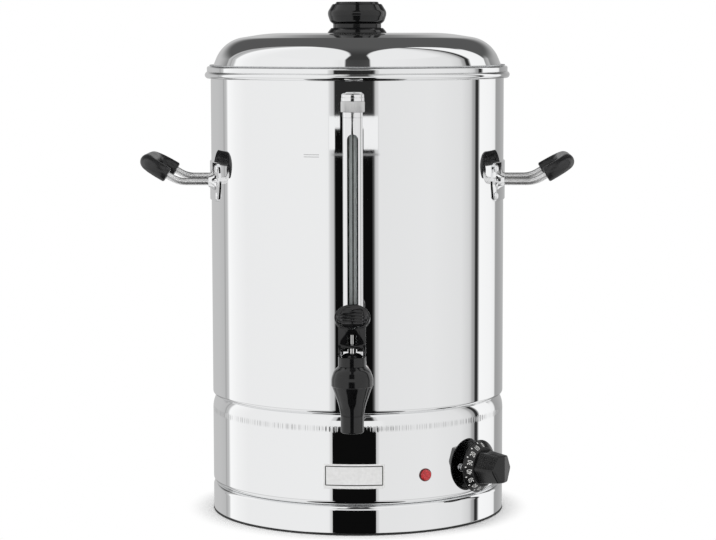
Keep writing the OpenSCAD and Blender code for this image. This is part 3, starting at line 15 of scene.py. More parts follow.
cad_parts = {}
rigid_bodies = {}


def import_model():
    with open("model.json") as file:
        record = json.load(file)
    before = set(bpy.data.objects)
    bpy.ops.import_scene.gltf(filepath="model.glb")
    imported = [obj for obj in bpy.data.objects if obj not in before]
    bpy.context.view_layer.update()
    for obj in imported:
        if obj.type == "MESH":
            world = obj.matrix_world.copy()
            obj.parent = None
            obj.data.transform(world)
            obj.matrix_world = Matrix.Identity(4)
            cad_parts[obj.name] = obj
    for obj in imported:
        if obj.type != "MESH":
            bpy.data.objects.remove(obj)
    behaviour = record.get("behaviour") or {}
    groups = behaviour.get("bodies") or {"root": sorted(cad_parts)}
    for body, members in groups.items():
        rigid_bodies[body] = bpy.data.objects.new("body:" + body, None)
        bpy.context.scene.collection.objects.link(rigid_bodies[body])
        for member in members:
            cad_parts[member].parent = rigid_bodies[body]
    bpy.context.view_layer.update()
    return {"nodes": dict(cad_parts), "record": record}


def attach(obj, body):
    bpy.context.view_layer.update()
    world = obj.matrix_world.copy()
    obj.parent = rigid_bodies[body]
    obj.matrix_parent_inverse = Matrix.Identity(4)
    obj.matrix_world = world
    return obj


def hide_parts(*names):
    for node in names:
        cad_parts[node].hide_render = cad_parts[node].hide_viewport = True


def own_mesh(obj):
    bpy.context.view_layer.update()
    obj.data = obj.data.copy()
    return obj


bl_info = {
    "name": "Hot Water Urn",
    "version": (1, 0, 0),
    "blender": (4, 5, 0),
    "location": "View3D > Sidebar > Urn",
    "description": "Builds the looks of a hot water urn round its construction model",
    "category": "Object",
}

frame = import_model()

MM = 0.001

# Radii and levels of the body, in millimetres, as the construction has them
BODY_R = 125.0
SHEET = 0.8
JOIN_R = 112.0
FOOT_Z = 1.3
SEAM_Z = 24.8
NECK_IN = 3.6
NECK_H = 12.3
NECK_Z = 100.3
RIM_Z = 376.4
RIM_D = 5.8
BAND_R = 128.2
BAND_Z = 380.8
LID_TOP = 408.8
COLLAR_TOP = 413.0

# The drum's band of fine wrinkles and of the painted shade in them: where it fades in and where it fades out,
# in metres
CRIMP_FOOT = (0.0852, 0.0872)
CRIMP_HEAD = (0.0895, 0.0912)

# Handles
HANDLE_Z = 284.3
LEG_Y = 37.0
KNEE_X = 150.0
KNEE_R = 25.0
HANDLE_TILT = math.radians(30)
HANDLE_REACH = 32.0
CORNER_R = 16.0
ROD_R = 3.0
ROD_START = 120.5
GRIP_R = 6.5
GRIP_LEG = 21.0
MOUNT_R = 126.2
RIVET_ANGLE = math.asin(47 / MOUNT_R)

# Tap and gauge
TAP_Y = -170.0
GAUGE_Y = -140.0
SHANK_Z = 132.0
SPOUT_Z = 93.3
SEAT_Z = 123.5
HEEL_Z = 154.4
STEM_TOP = 173.9
SHIELD_Z = (142.0, 342.0)
SHIELD_R = 8.0
SLOT_HALF = 4.4
SLOT_Z = (156.0, 329.0)
CAP_Z = (346.4, 355.0)
CAP_TEETH = 48

# Dial and lamp
DIAL_AZIMUTH = math.radians(51.5)
DIAL_Z = 50.0
DIAL_BACK = 130.5
DIAL_FRONT = 137.0
LAMP_AZIMUTH = math.radians(27.7)
LAMP_Z = 48.0

# The bare plate and the two level lines
LABEL_Z = 49.0
LEVELS_AZIMUTH = math.radians(-15.8)
LEVELS_Z = (309.6, 311.4)

# The tent as the steel mirrors it: degrees over the horizon (rise) and round from the camera's side
SLOT_LEVEL = 0.004
PANE_RISE = (-2.96, -2.16)
PANE_HEAD = (-2.44, -2.16)
SHELF_RISE = (-3.11, -3.08)
CLOSED_RISE = (1.5, 24)
TABLE_EDGE = (-13, -15.5)
TABLE_TOP = (-19, -25)
CEILING = 0.1


def length(name, description, default, low, high):
    """A length in metres for the panel."""
    return bpy.props.FloatProperty(
        name=name, description=description, default=default, min=low, max=high, unit="LENGTH")


def colour(name, description, *default):
    """A colour for the panel."""
    return bpy.props.FloatVectorProperty(
        name=name, description=description, default=default, min=0, max=1, subtype="COLOR", size=3)


class UrnSizes(bpy.types.PropertyGroup):
    """Sizes of the trim, marks and surface detail"""

    label_width: length(
        "Label width", "Width of the bare plate on the base, along the drum", 0.0498, 0.02, 0.08)
    label_height: length("Label height", "Height of the bare plate on the base", 0.0203, 0.01, 0.03)
    border_width: length("Border width", "Width of the line printed round the plate", 0.0008, 0.0003, 0.002)
    digit_height: length("Digit height", "Height of the numbers on the dial", 0.0031, 0.002, 0.004)
    dot_diameter: length(
        "Dot diameter", "Diameter of the dots between the dial's numbers", 0.0011, 0.0005, 0.002)
    knurl_depth: length("Knurl depth", "Depth of the teeth round the gauge's cap", 0.0004, 0.0, 0.0005)
    crimp_depth: length(
        "Crimp depth", "Depth of the fine wrinkles where the drum is necked in", 0.0005, 0.0, 0.001)
    polish: bpy.props.FloatProperty(
        name="Polish", description="Roughness of the polished steel where it shines most",
        default=0.009, min=0.0, max=0.3, subtype="FACTOR")


class UrnColours(bpy.types.PropertyGroup):
    """Colours of the urn's main finishes"""

    steel: colour("Steel", "Colour of the polished steel", 0.88, 0.885, 0.89)
    moulding: colour("Moulding", "Colour of the black tap, lever and dial", 0.0035, 0.0035, 0.0038)
    grip: colour("Grip", "Colour of the handles' grips", 0.009, 0.009, 0.0095)
    lens: colour("Lens", "Colour of the lamp's lens", 0.7, 0.035, 0.04)
    label: colour("Label", "Colour of the bare plate on the base", 0.85, 0.85, 0.845)
    mark: colour("Marks", "Colour of the dial's numbers and dots", 0.82, 0.82, 0.8)


def sizes():
    """The sizes set in the panel."""
    return bpy.context.scene.urn_sizes


def colours():
    """The colours set in the panel."""
    return bpy.context.scene.urn_colours


# ---- numbers and outlines


def unit(v):
    """Each row of v divided by its length."""
    v = np.asarray(v, float)
    return v / np.linalg.norm(v, axis=-1, keepdims=True)


def left_of(d):
    """Directions d in the plane, each turned a quarter to the left."""
    return np.stack([-d[..., 1], d[..., 0]], -1)


def arc_outline(centre, radius, start, end, count):
    """Points and outward normals of an arc: centre + radius (cos a, sin a), a from start to end, degrees."""
    a = np.radians(np.linspace(start, end, count + 1))
    n = np.stack([np.cos(a), np.sin(a)], -1)
    return np.asarray(centre) + radius * n, n


def outline(points, closed=False, steps=6):
    """Points and normals of a polyline whose corners are rounded. Each row is x, y, corner radius.

    A corner is the arc that touches both of its sides; the normal is the side's left normal on
    straights and turns evenly along an arc, so a straight stays flat up to where its arc begins.
    """
    p = np.asarray(points, float)
    q, r = p[:, :2], p[:, 2]
    out, norm = [], []
    for i in range(len(q)):
        end = not closed and i in (0, len(q) - 1)
        back = q[i] - q[i - 1] if (closed or i > 0) else q[1] - q[0]
        ahead = q[(i + 1) % len(q)] - q[i] if (closed or i < len(q) - 1) else q[i] - q[i - 1]
        u, v = unit(back), unit(ahead)
        turn = math.atan2(u[0] * v[1] - u[1] * v[0], u @ v)
        if end or abs(turn) < 1e-6:
            out.append(q[i][None])
            norm.append(left_of(u if i else v)[None])
            continue
        radius = max(r[i], 0.05)
        reach = radius * math.tan(abs(turn) / 2)
        limit = 0.499 * min(np.linalg.norm(back), np.linalg.norm(ahead))
        if reach > limit and r[i] < 20:
            reach = limit
            radius = reach / math.tan(abs(turn) / 2)
        side = math.copysign(1.0, turn)
        centre = q[i] - reach * u + side * radius * left_of(u)
        count = steps if radius > 0.3 else 3
        first = math.atan2(*(-side * left_of(u))[::-1])
        a = first + turn * np.linspace(0, 1, count + 1)
        n = np.stack([np.cos(a), np.sin(a)], -1)
        out.append(centre + radius * n)
        norm.append(-side * n)
    return np.concatenate(out), np.concatenate(norm)


def filled(points, normals, step=1.5):
    """A closed outline and its normals with rows added along its length, at most a step apart."""
    p, n = (np.concatenate([x, x[:1]]) for x in (points, normals))
    run = np.concatenate([[0], np.cumsum(np.linalg.norm(np.diff(p, axis=0), axis=1))])
    at = np.unique(np.round(np.concatenate([run[:-1], np.arange(0, run[-1] - 0.01, step)]), 2))
    p, n = (np.stack([np.interp(at, run, x[:, k]) for k in (0, 1)], -1) for x in (p, n))
    return p, unit(n)


def sheet_section(line, normal):
    """A sheet's closed outline and outward normals: its outside line, and the same moved in by the sheet."""
    return (np.concatenate([line, (line - SHEET * normal)[::-1]]),
            np.concatenate([normal, -normal[::-1]]))


def sheet_outline(points, steps):
    """The same for an outside line given as a rounded polyline that runs anticlockwise."""
    p, n = outline(points, steps=steps)
    return sheet_section(p, -n)


def full_turn(count):
    """Angles of this many even steps round a full turn."""
    return np.linspace(0, 2 * math.pi, count, endpoint=False)


def around(r, a, z):
    """Points (r cos a, r sin a, z), from numbers or arrays that fit each other."""
    r, a, z = np.broadcast_arrays(r, a, z)
    return np.stack([r * np.cos(a), r * np.sin(a), z], -1)


def grid_faces(rows, cols, wrap_rows=False, wrap_cols=False):
    """Quads of a grid of rows x cols points, row by row, joined round where it wraps."""
    i = np.arange(rows if wrap_rows else rows - 1)
    j = np.arange(cols if wrap_cols else cols - 1)
    i, j = (a.ravel() for a in np.meshgrid(i, j, indexing="ij"))
    i2, j2 = (i + 1) % rows, (j + 1) % cols
    return np.stack([i * cols + j, i * cols + j2, i2 * cols + j2, i2 * cols + j], -1)


def bent_line(points, radius, steps=10):
    """A path in space through points, with each inner corner replaced by the arc that touches both sides.

    Along the arc a point is centre + radius (sin a u - cos a w), u the first side, w square to it.
    """
    p = np.asarray(points, float)
    radius = np.broadcast_to(radius, len(p))
    out = [p[:1]]
    for i in range(1, len(p) - 1):
        u, v = unit(p[i] - p[i - 1]), unit(p[i + 1] - p[i])
        turn = math.acos(u @ v)
        w = unit(v - (u @ v) * u)
        centre = p[i] - radius[i] * math.tan(turn / 2) * u + radius[i] * w
        a = np.linspace(0, turn, steps + 1)[:, None]
        out.append(centre + radius[i] * (np.sin(a) * u - np.cos(a) * w))
    return np.concatenate(out + [p[-1:]])


# ---- meshes


def mesh_of(name, verts, faces):
    """A mesh in metres from vertices in millimetres."""
    mesh = bpy.data.meshes.new(name)
    mesh.from_pydata((np.asarray(verts, float) * MM).tolist(), [], [list(map(int, f)) for f in faces])
    mesh.polygons.foreach_set("use_smooth", np.ones(len(mesh.polygons), bool))
    mesh.update()
    return mesh


def linked(name, data):
    """An object with this data in the scene."""
    obj = bpy.data.objects.new(name, data)
    bpy.context.scene.collection.objects.link(obj)
    return obj


def place_piece(name, mesh, look, body="urn", node=None, slot=None):
    """Puts a mesh in the scene with the look of a material, on a body and in place of a construction node.
    Its slot is the material's own name where no other is given."""
    mesh.materials.clear()
    mesh.materials.append(MATERIALS[look])
    obj = linked(name, mesh)
    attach(obj, body)
    if node:
        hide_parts(node)
    return obj


def welded(mesh, angle, recalculate=True):
    """Merges a mesh's doubles, turns its faces outward, and keeps edges sharper than the angle crisp."""
    bm = bmesh.new()
    bm.from_mesh(mesh)
    bmesh.ops.remove_doubles(bm, verts=bm.verts, dist=2e-6)
    bmesh.ops.dissolve_degenerate(bm, edges=bm.edges, dist=1e-7)
    if recalculate:
        bmesh.ops.recalc_face_normals(bm, faces=bm.faces)
    bm.to_mesh(mesh)
    bm.free()
    mesh.polygons.foreach_set("use_smooth", np.ones(len(mesh.polygons), bool))
    mesh.set_sharp_from_angle(angle=math.radians(angle))
    return mesh


def shaped_piece(name, verts, faces, look, angle=35.0, **named):
    """A closed piece from vertices in millimetres whose seams are welded and whose faces point outward."""
    return place_piece(name, welded(mesh_of(name, verts, faces), angle), look, **named)


def joined(parts):
    """Vertices and faces of several (vertices, faces) pairs as one."""
    verts, faces, count = [], [], 0
    for v, f in parts:
        verts.append(np.asarray(v, float))
        faces += [[int(x) + count for x in face] for face in f]
        count += len(v)
    return np.concatenate(verts), faces


def moved(points, place):
    """Points taken through a 4 x 4 matrix."""
    m = np.array(place)
    return points @ m[:3, :3].T + m[:3, 3]


def revolved(points, normals, segments, closed=True):
    """Vertices, faces and normals of an outline (radius, height) turned round +Z: (r cos a, r sin a, z)."""
    a = full_turn(segments)
    v = around(np.maximum(points[:, :1], 0), a, points[:, 1:])
    n = around(normals[:, :1], a, normals[:, 1:])
    f = grid_faces(len(points), segments, closed, True)
    return v.reshape(-1, 3), f, n.reshape(-1, 3)


def close_poles(verts, faces, normals, rows, cols):
    """Merges each ring of radius zero into one vertex, and turns its quads into triangles."""
    ring = np.linalg.norm(verts.reshape(rows, cols, 3)[:, :, :2], axis=2).max(1) < 1e-6
    index = np.arange(rows * cols).reshape(rows, cols)
    index[ring] = index[ring][:, :1]
    used, where = np.unique(index, return_inverse=True)
    faces = where.reshape(-1)[faces]
    made = []
    for f in faces.tolist():
        g = [x for k, x in enumerate(f) if x != f[k - 1]]
        if len(set(g)) > 2:
            made.append(g)
    return verts[used], made, normals[used]


def turned_piece(name, points, segments, look, place=None, closed=True, steps=6, **named):
    """A turned piece: a rounded outline (radius, height, corner radius) revolved round its axis.

    The outline runs anticlockwise, so its left is inside and the faces point outward. place is a
    matrix from the piece's own axes, in millimetres, to the urn's, or a list of them for copies.
    """
    p, n = outline(points, closed=closed, steps=steps)
    return turned_outline(name, p, -n, segments, look, place, closed, **named)


def turned_outline(name, p, n, segments, look, place=None, closed=True, **named):
    """The same for an outline that is worked out already, with its outward normals."""
    v, f, n = revolved(p, n, segments, closed)
    v, f, n = close_poles(v, f, n, len(p), segments)
    places = place if isinstance(place, list) else [place or Matrix()]
    verts, faces = joined([(moved(v, m), f) for m in places])
    normals = np.concatenate([moved(n, m.to_3x3().to_4x4()) for m in places])
    mesh = mesh_of(name, verts, faces)
    mesh.normals_split_custom_set_from_vertices(unit(normals).tolist())
    return place_piece(name, mesh, look, **named)


def swept(path, radii, sides):
    """Rings of a round bar along a path: point + radius (cos a u + sin a w), u and w square to the path."""
    d = unit(np.gradient(path, axis=0))
    up = np.where(np.abs(d[:, 2:]) > 0.9, [[1.0, 0, 0]], [[0, 0, 1.0]])
    u = unit(np.cross(up, d))
    w = np.cross(d, u)
    a = full_turn(sides)[None, :, None]
    r = np.broadcast_to(radii, len(path))[:, None, None]
    return path[:, None] + r * (np.cos(a) * u[:, None] + np.sin(a) * w[:, None])


def wall_place(azimuth, z, r=0.0):
    """Matrix of a place on a radius of the urn: its own +Z points outward and +Y up. Millimetres."""
    s, c = math.sin(azimuth), math.cos(azimuth)
    return Matrix(((c, 0, s, r * s), (s, 0, -c, -r * c), (0, 1, 0, z), (0, 0, 0, 1)))


def on_wall(flat, r, azimuth, z):
    """Flat points (right, up) laid on the upright cylinder of radius r, straight in from the front."""
    a = azimuth + np.arcsin(flat[..., 0] / BODY_R)
    r = np.broadcast_to(r, a.shape)
    return np.stack([r * np.sin(a), -r * np.cos(a), z + flat[..., 1]], -1)


def wall_plate(shape, r0, r1, azimuth, z, bevel, rings):
    """Vertices and faces of a curved plate between the radii r0 and r1, from an outline (right, up, corner).

    Its front and back are the outline drawn in towards its middle, ring by ring, and its front edge
    is bevelled.
    """
    p, n = filled(*outline(shape, closed=True, steps=8))
    inset = p + bevel * n
    k = np.linspace(0, 1, rings + 1)[:, None, None]
    levels = [(k * inset, r1), (p[None], r1 - bevel), (p[None], r0), ((k * p)[::-1], r0)]
    rows = np.concatenate([on_wall(flat, r, azimuth, z) for flat, r in levels])
    return rows.reshape(-1, 3), grid_faces(len(rows), len(p), False, True)


def wall_line(shape, width, r0, r1, azimuth, z):
    """Vertices and faces of a flat closed band, a width inward from an outline, laid on the wall."""
    a, n = filled(*outline(shape, closed=True, steps=8))
    b = a + width * n
    rows = np.stack([on_wall(a, r0, azimuth, z), on_wall(a, r1, azimuth, z),
                     on_wall(b, r1, azimuth, z), on_wall(b, r0, azimuth, z)])
    return rows.reshape(-1, 3), grid_faces(4, len(a), True, True)


def box_outline(width, height, corner):
    """A rectangle (right, up, corner radius) round the middle, anticlockwise."""
    w, h = width / 2, height / 2
    return [(-w, -h, corner), (w, -h, corner), (w, h, corner), (-w, h, corner)]


# ---- materials


class Nodes:
    """A node tree under construction, with small helpers."""

    def __init__(self, tree):
        self.tree = tree

    def feed(self, socket, value):
        """Links a socket to the value, or gives it the value."""
        if isinstance(value, bpy.types.NodeSocket):
            self.tree.links.new(value, socket)
        else:
            socket.default_value = value

    def node(self, kind, **inputs):
        """A node of a kind. Each name sets one of its settings or feeds one of its inputs."""
        n = self.tree.nodes.new(kind)
        for key, value in inputs.items():
            if hasattr(n, key):
                setattr(n, key, value)
            else:
                self.feed(n.inputs[key.replace("_", " ")], value)
        return n

    def math(self, operation, *values):
        n = self.node("ShaderNodeMath", operation=operation)
        for socket, value in zip(n.inputs, values):
            self.feed(socket, value)
        return n.outputs[0]

    times = partialmethod(math, "MULTIPLY")
    plus = partialmethod(math, "ADD")
    minus = partialmethod(math, "SUBTRACT")
    most = partialmethod(math, "MAXIMUM")


class Shader(Nodes):
    """A Principled material under construction."""

    def __init__(self, name, color, roughness, metallic=0.0, **sockets):
        self.mat = bpy.data.materials.new(name)
        self.mat.use_nodes = True
        super().__init__(self.mat.node_tree)
        self.bsdf = self.tree.nodes["Principled BSDF"]
        values = {"Base Color": (*color, 1), "Roughness": roughness, "Metallic": metallic, **sockets}
        for key, value in values.items():
            self.feed(self.bsdf.inputs[key.replace("_", " ")], value)
        self.place = self.node("ShaderNodeTexCoord").outputs["Object"]

    def link(self, source, socket):
        self.tree.links.new(source, self.bsdf.inputs[socket])

    def noise(self, scale, detail, stretch=(1, 1, 1), place=None):
        """Noise of about scale lumps a metre, stretched along the axes."""
        at = self.node("ShaderNodeMapping", Vector=place or self.place, Scale=stretch).outputs["Vector"]
        return self.node("ShaderNodeTexNoise", Vector=at, Scale=scale, Detail=detail).outputs["Fac"]

    def spread(self, value, low, high, start=0.3, end=0.7):
        """The value, from start to end, spread between low and high."""
        return self.node("ShaderNodeMapRange", Value=value, From_Min=start, From_Max=end, To_Min=low,
                         To_Max=high).outputs["Result"]

    def bump(self, height, distance):
        self.link(self.node("ShaderNodeBump", Height=height, Distance=distance).outputs["Normal"], "Normal")

    def shades(self, value, first, second):
        """Base colour that goes from the first to the second colour with the value."""
        n = self.node("ShaderNodeMix", data_type="RGBA", Factor=value, A=(*first, 1), B=(*second, 1))
        self.link([o for o in n.outputs if o.type == "RGBA"][0], "Base Color")


def shaded(color, factor, extra=0.0):
    """A colour whose parts are each multiplied by the factor, with a little added, up to 1."""
    return tuple(min(1, factor * c + extra) for c in color)


def sheet_steel(name, crimped=False):
    """Mirror-polished sheet: polish that varies, faint buffing lines round it, and, on the drum, the
    row of fine wrinkles that necking it in leaves: noise along the wall, only near that level."""
    low, steel = sizes().polish, tuple(colours().steel)
    s = Shader(name, steel, low, 1.0)
    s.link(s.spread(s.noise(9, 4), low, low + 0.008), "Roughness")
    height = s.times(s.noise(30, 2, (0.02, 0.02, 60)), 0.00000012)
    if crimped:
        split = s.node("ShaderNodeSeparateXYZ", Vector=s.place)
        turn = s.math("ARCTAN2", split.outputs["X"], s.times(split.outputs["Y"], -1))
        along = s.node("ShaderNodeCombineXYZ", X=s.times(turn, BODY_R * MM)).outputs["Vector"]
        strokes = s.noise(560, 1.5, place=along)
        patches = s.spread(s.noise(45, 2, place=along), 0.15, 1)
        low_edge = s.spread(split.outputs["Z"], 0, 1, *CRIMP_FOOT)
        high_edge = s.spread(split.outputs["Z"], 1, 0, *CRIMP_HEAD)
        band = s.times(s.times(low_edge, high_edge), patches)
        # Painted shade: in patches of the wrinkle band the steel's colour is darkened to 0.3 of itself,
        # standing in for shade in the wrinkles
        crease_shade = s.times(s.spread(s.noise(1000, 1.5, place=along), 0, 1, 0.48, 0.6), band)
        s.shades(crease_shade, steel, shaded(steel, 0.3))
        strokes = s.times(s.minus(strokes, 0.5), band)
        height = s.plus(height, s.times(strokes, sizes().crimp_depth))
    s.bump(height, 1.0)
    return s.mat


def bare_steel(name, color, low, high, grain, stretch):
    """Unpolished metal: its grain runs along one axis and sets colour and shine."""
    s = Shader(name, color, low, 1.0)
    lines = s.noise(grain, 4, stretch)
    s.link(s.spread(lines, low, high), "Roughness")
    s.shades(s.spread(s.noise(25, 3), 0, 1), color, shaded(color, 0.86))
    s.bump(lines, 0.000003)
    return s.mat


def finish(name, color, shine, tone=None, skin=None, metallic=0.0, **sockets):
    """A material whose shine, tone and skin each follow a noise of its own: the shine by its scale, detail,
    lowest and highest roughness, the tone by its scale, detail and other colour (and where the noise
    starts and ends), and the skin by its scale, detail and depth."""
    s = Shader(name, color, shine[2], metallic, **sockets)
    s.link(s.spread(s.noise(*shine[:2]), *shine[2:]), "Roughness")
    if tone:
        s.shades(s.spread(s.noise(*tone[:2]), 0, 1, *tone[3:]), color, tone[2])
    if skin:
        s.bump(s.noise(*skin[:2]), skin[2])
    return s.mat


def plating(name, color, low, high, frost=0.0):
    """Bright plating, or the frosted plating of the cap's band, whose skin is finely pitted."""
    return finish(name, color, (40, 3, low, high), None, frost and (2600, 3, frost), 1.0)


def moulding(name, color, roughness, grain, lumps=1600):
    """Black heat-proof plastic: polish that varies a little, and the mould's fine skin."""
    return finish(name, color, (55, 3, roughness * 0.8, roughness * 1.3),
                  (220, 4, shaded(color, 1.5, 0.0006)), grain and (lumps, 2, grain), IOR=1.5)


def rubber(name, color, dust=1.5):
    """Matt rubber with an uneven sheen and a little dust."""
    return finish(name, color, (500, 3, 0.5, 0.75), (90, 4, shaded(color, dust)), (2500, 2, 0.00002))


def clear_glass(name, color):
    """Clear glass tube with a slight green cast and faint drawing streaks along it."""
    s = Shader(name, color, 0.0, IOR=1.47, Transmission_Weight=1.0)
    s.link(s.spread(s.noise(60, 2, (1, 1, 0.04)), 0.0, 0.02), "Roughness")
    return s.mat


def lens_plastic(name, color, dark):
    """Transparent red plastic: glossy, with fine moulded facets that break up the light."""
    s = Shader(name, color, 0.12, IOR=1.49, Coat_Weight=0.4, Coat_Roughness=0.04)
    facets = s.node("ShaderNodeTexVoronoi", Vector=s.place, Scale=850.0).outputs["Distance"]
    s.link(s.spread(s.noise(300, 3), 0.1, 0.22), "Roughness")
    s.shades(s.spread(facets, 0, 1, 0.1, 0.7), color, dark)
    s.bump(facets, 0.00012)
    return s.mat


def glazed(name, color, speck):
    """Glazed ceramic with small dark specks."""
    return finish(name, color, (200, 3, 0.22, 0.45), (1300, 2, speck, 0.6, 0.75), (700, 2, 0.00001))


def tinted_metal(name, color, tint, low, high):
    """Copper, brass or a heated sheath: tarnish in soft patches over fine drawing lines."""
    return finish(name, color, (260, 3, low, high), (70, 5, tint), (1500, 2, 0.000004), 1.0)


def sleeving(name, color, stripe):
    """Woven wire sleeving: crossing threads at about one a millimetre, with a paler or striped thread."""
    s = Shader(name, color, 0.7)
    threads = s.node("ShaderNodeTexChecker", Vector=s.place, Scale=1100.0).outputs["Fac"]
    s.shades(s.spread(s.noise(160, 2), 0, 1, 0.48, 0.52), color, stripe)
    s.link(s.spread(s.noise(900, 3), 0.6, 0.85), "Roughness")
    s.bump(s.plus(threads, s.noise(1800, 2)), 0.00006)
    return s.mat


def printed(name, color, roughness):
    """Printed ink or an enamelled plate: an even colour with slight unevenness in its shine and tone."""
    return finish(name, color, (700, 3, roughness * 0.85, roughness * 1.15), (350, 4, shaded(color, 0.9)),
                  (2200, 2, 0.000004))


MATERIALS = {}


def make_materials():
    """One procedural material for each finish, kept by the record's slot name, and a few for the trim."""
    c = colours()
    black = tuple(c.moulding)
    rows = (
        (sheet_steel, "polished_steel"),
        (sheet_steel, "drum_steel", True),
        (bare_steel, "plain_steel", (0.62, 0.63, 0.64), 0.26, 0.42, 350, (1, 1, 0.05)),
        (bare_steel, "screw_steel", (0.6, 0.61, 0.62), 0.18, 0.34, 500, (1, 1, 1)),
        (bare_steel, "spring_steel", (0.62, 0.64, 0.66), 0.16, 0.3, 900, (1, 1, 0.2)),
        (bare_steel, "aluminium_plate", (0.72, 0.73, 0.74), 0.3, 0.5, 420, (0.06, 1, 1)),
        (plating, "rod_steel", (0.94, 0.94, 0.94), 0.34, 0.4),
        (plating, "plated_brass", (0.8, 0.8, 0.79), 0.02, 0.05),
        (plating, "bright_plating", (0.85, 0.85, 0.855), 0.02, 0.045),
        (plating, "frosted_plating", (0.72, 0.72, 0.72), 0.34, 0.46, 0.00004),
        (moulding, "black_plastic", black, 0.09, 0.0),
        (moulding, "knob_plastic", black, 0.08, 0.0),
        (moulding, "grip_plastic", tuple(c.grip), 0.26, 0.000012),
        (moulding, "dial_plastic", black, 0.2, 0.000005),
        (moulding, "white_plastic", (0.6, 0.59, 0.56), 0.35, 0.000006),
        (moulding, "phenolic", (0.035, 0.03, 0.026), 0.4, 0.00002, 700),
        (rubber, "foot_rubber", (0.012, 0.012, 0.012)),
        (rubber, "black_rubber", (0.016, 0.016, 0.016)),
        (rubber, "red_silicone", (0.06, 0.012, 0.01), 1.3),
        (rubber, "clear_silicone", (0.7, 0.67, 0.58), 1.1),
        (clear_glass, "gauge_glass", (0.95, 0.975, 0.97)),
        (lens_plastic, "red_lens", tuple(c.lens), (0.42, 0.015, 0.02)),
        (lens_plastic, "lens_rim", (0.13, 0.012, 0.012), (0.05, 0.006, 0.006)),
        (glazed, "ceramic", (0.82, 0.79, 0.72), (0.5, 0.45, 0.38)),
        (tinted_metal, "copper", (0.78, 0.4, 0.26), (0.42, 0.2, 0.14), 0.2, 0.36),
        (tinted_metal, "earth_brass", (0.75, 0.6, 0.3), (0.5, 0.38, 0.18), 0.2, 0.36),
        (tinted_metal, "element_sheath", (0.3, 0.29, 0.27), (0.16, 0.13, 0.15), 0.35, 0.55),
        (sleeving, "wire_sleeving", (0.3, 0.16, 0.09), (0.42, 0.27, 0.17)),
        (sleeving, "earth_sleeving", (0.2, 0.4, 0.07), (0.75, 0.68, 0.08)),
        (printed, "label_plate", tuple(c.label), 0.42),
        (printed, "label_line", (0.03, 0.03, 0.03), 0.45),
        (printed, "etched_mark", (0.42, 0.42, 0.425), 0.5),
        (printed, "gauge_stripe", (0.88, 0.9, 0.9), 0.4),
        (printed, "dial_marks", tuple(c.mark), 0.45),
    )
    for make, name, *values in rows:
        MATERIALS[name] = make(name, *values)
    for row in frame["record"]["subparts"]:
        mesh = frame["nodes"][row["node"]].data
        mesh.materials.clear()
        mesh.materials.append(MATERIALS[row["material_slot"]])


# ---- body and lid


def make_body():
    """Foot, plinth, drum and tank, each turned from its sheet's outline. The drum's neck is an arc of
    a circle that leaves the wall upright, and the tank's rim is rolled outward through 250 degrees."""
    turned_piece("foot", [(118.9, 0, 0.3), (125.2, 0, 0.4), (125.2, FOOT_Z, 0.3), (118.9, FOOT_Z, 0.3)],
                 256, "foot_rubber", node="foot_ring")
    p, n = sheet_outline([(110, FOOT_Z, 0), (BODY_R, FOOT_Z, 0.9), (BODY_R, SEAM_Z, 4.2),
                          (JOIN_R, SEAM_Z, 0)], 12)
    turned_outline("plinth", p, n, 384, "polished_steel", node="plinth_ring")
    neck_r = (NECK_IN**2 + NECK_H**2) / (2 * NECK_IN)
    q, m = outline([(JOIN_R, SEAM_Z, 0), (BODY_R, SEAM_Z, 4), (BODY_R, NECK_Z - NECK_H, 0)], steps=12)
    top = math.degrees(math.asin(NECK_H / neck_r))
    a, b = arc_outline((BODY_R - neck_r, NECK_Z - NECK_H), neck_r, 0, top, 16)
    c, d = outline([(BODY_R - NECK_IN, NECK_Z, 0), (JOIN_R, NECK_Z, 0)])
    p, n = sheet_section(np.concatenate([q[:-1], a, c]), np.concatenate([-m[:-1], b, -d]))
    turned_outline("drum", p, n, 384, "drum_steel", node="base_drum", slot="polished_steel")
    roll = RIM_D / 2 - SHEET
    q, m = outline([(119, NECK_Z, 0), (BODY_R, NECK_Z, 4.5), (BODY_R, RIM_Z - RIM_D / 2, 0)], steps=12)
    a, b = arc_outline((BODY_R + roll, RIM_Z - RIM_D / 2), roll, 180, -70, 28)
    p, n = sheet_section(np.concatenate([q[:-1], a]), np.concatenate([-m[:-1], -b]))
    turned_outline("tank", p, n, 384, "polished_steel", node="tank_wall")


def make_lid():
    """Lid from its sheet's outline, and the turned collar and knob on it."""
    p, n = sheet_outline([(BAND_R, RIM_Z, 0), (BAND_R, BAND_Z, 1.4), (123, BAND_Z, 0.8),
                          (114.1, LID_TOP - 6.2, 29), (75, LID_TOP, 150), (2.7, LID_TOP, 0)], 16)
    turned_outline("lid", p, n, 384, "polished_steel", body="lid", node="lid_shell")
    turned_piece("collar", [(0, LID_TOP, 0), (25.5, LID_TOP, 0.4), (23.7, LID_TOP + 2.5, 2),
                            (22.1, COLLAR_TOP, 0.4), (0, COLLAR_TOP, 0)],
                 160, "knob_plastic", closed=False, body="lid", node="lid_knob_collar")
    r, h, z = 24.9, 22.2, COLLAR_TOP
    turned_piece("knob", [(0, z, 0), (20.5, z, 0.3), (20.5, z + 0.16 * h, 0.6), (r - 1.8, z + 0.25 * h, 4),
                          (r, z + 0.49 * h, 8), (r, z + 0.63 * h, 7), (0.84 * r, z + 0.92 * h, 6),
                          (0.755 * r, z + 0.92 * h, 0.2), (0.71 * r, z + h, 0.8), (0, z + h, 0)],
                 160, "knob_plastic", closed=False, steps=10, body="lid", node="lid_knob")


# ---- handles


def leg_point(distance, y):
    """A point on a handle's tilted leg, at a distance past the knee's corner."""
    return (KNEE_X + distance * math.cos(HANDLE_TILT), y, HANDLE_Z + distance * math.sin(HANDLE_TILT))


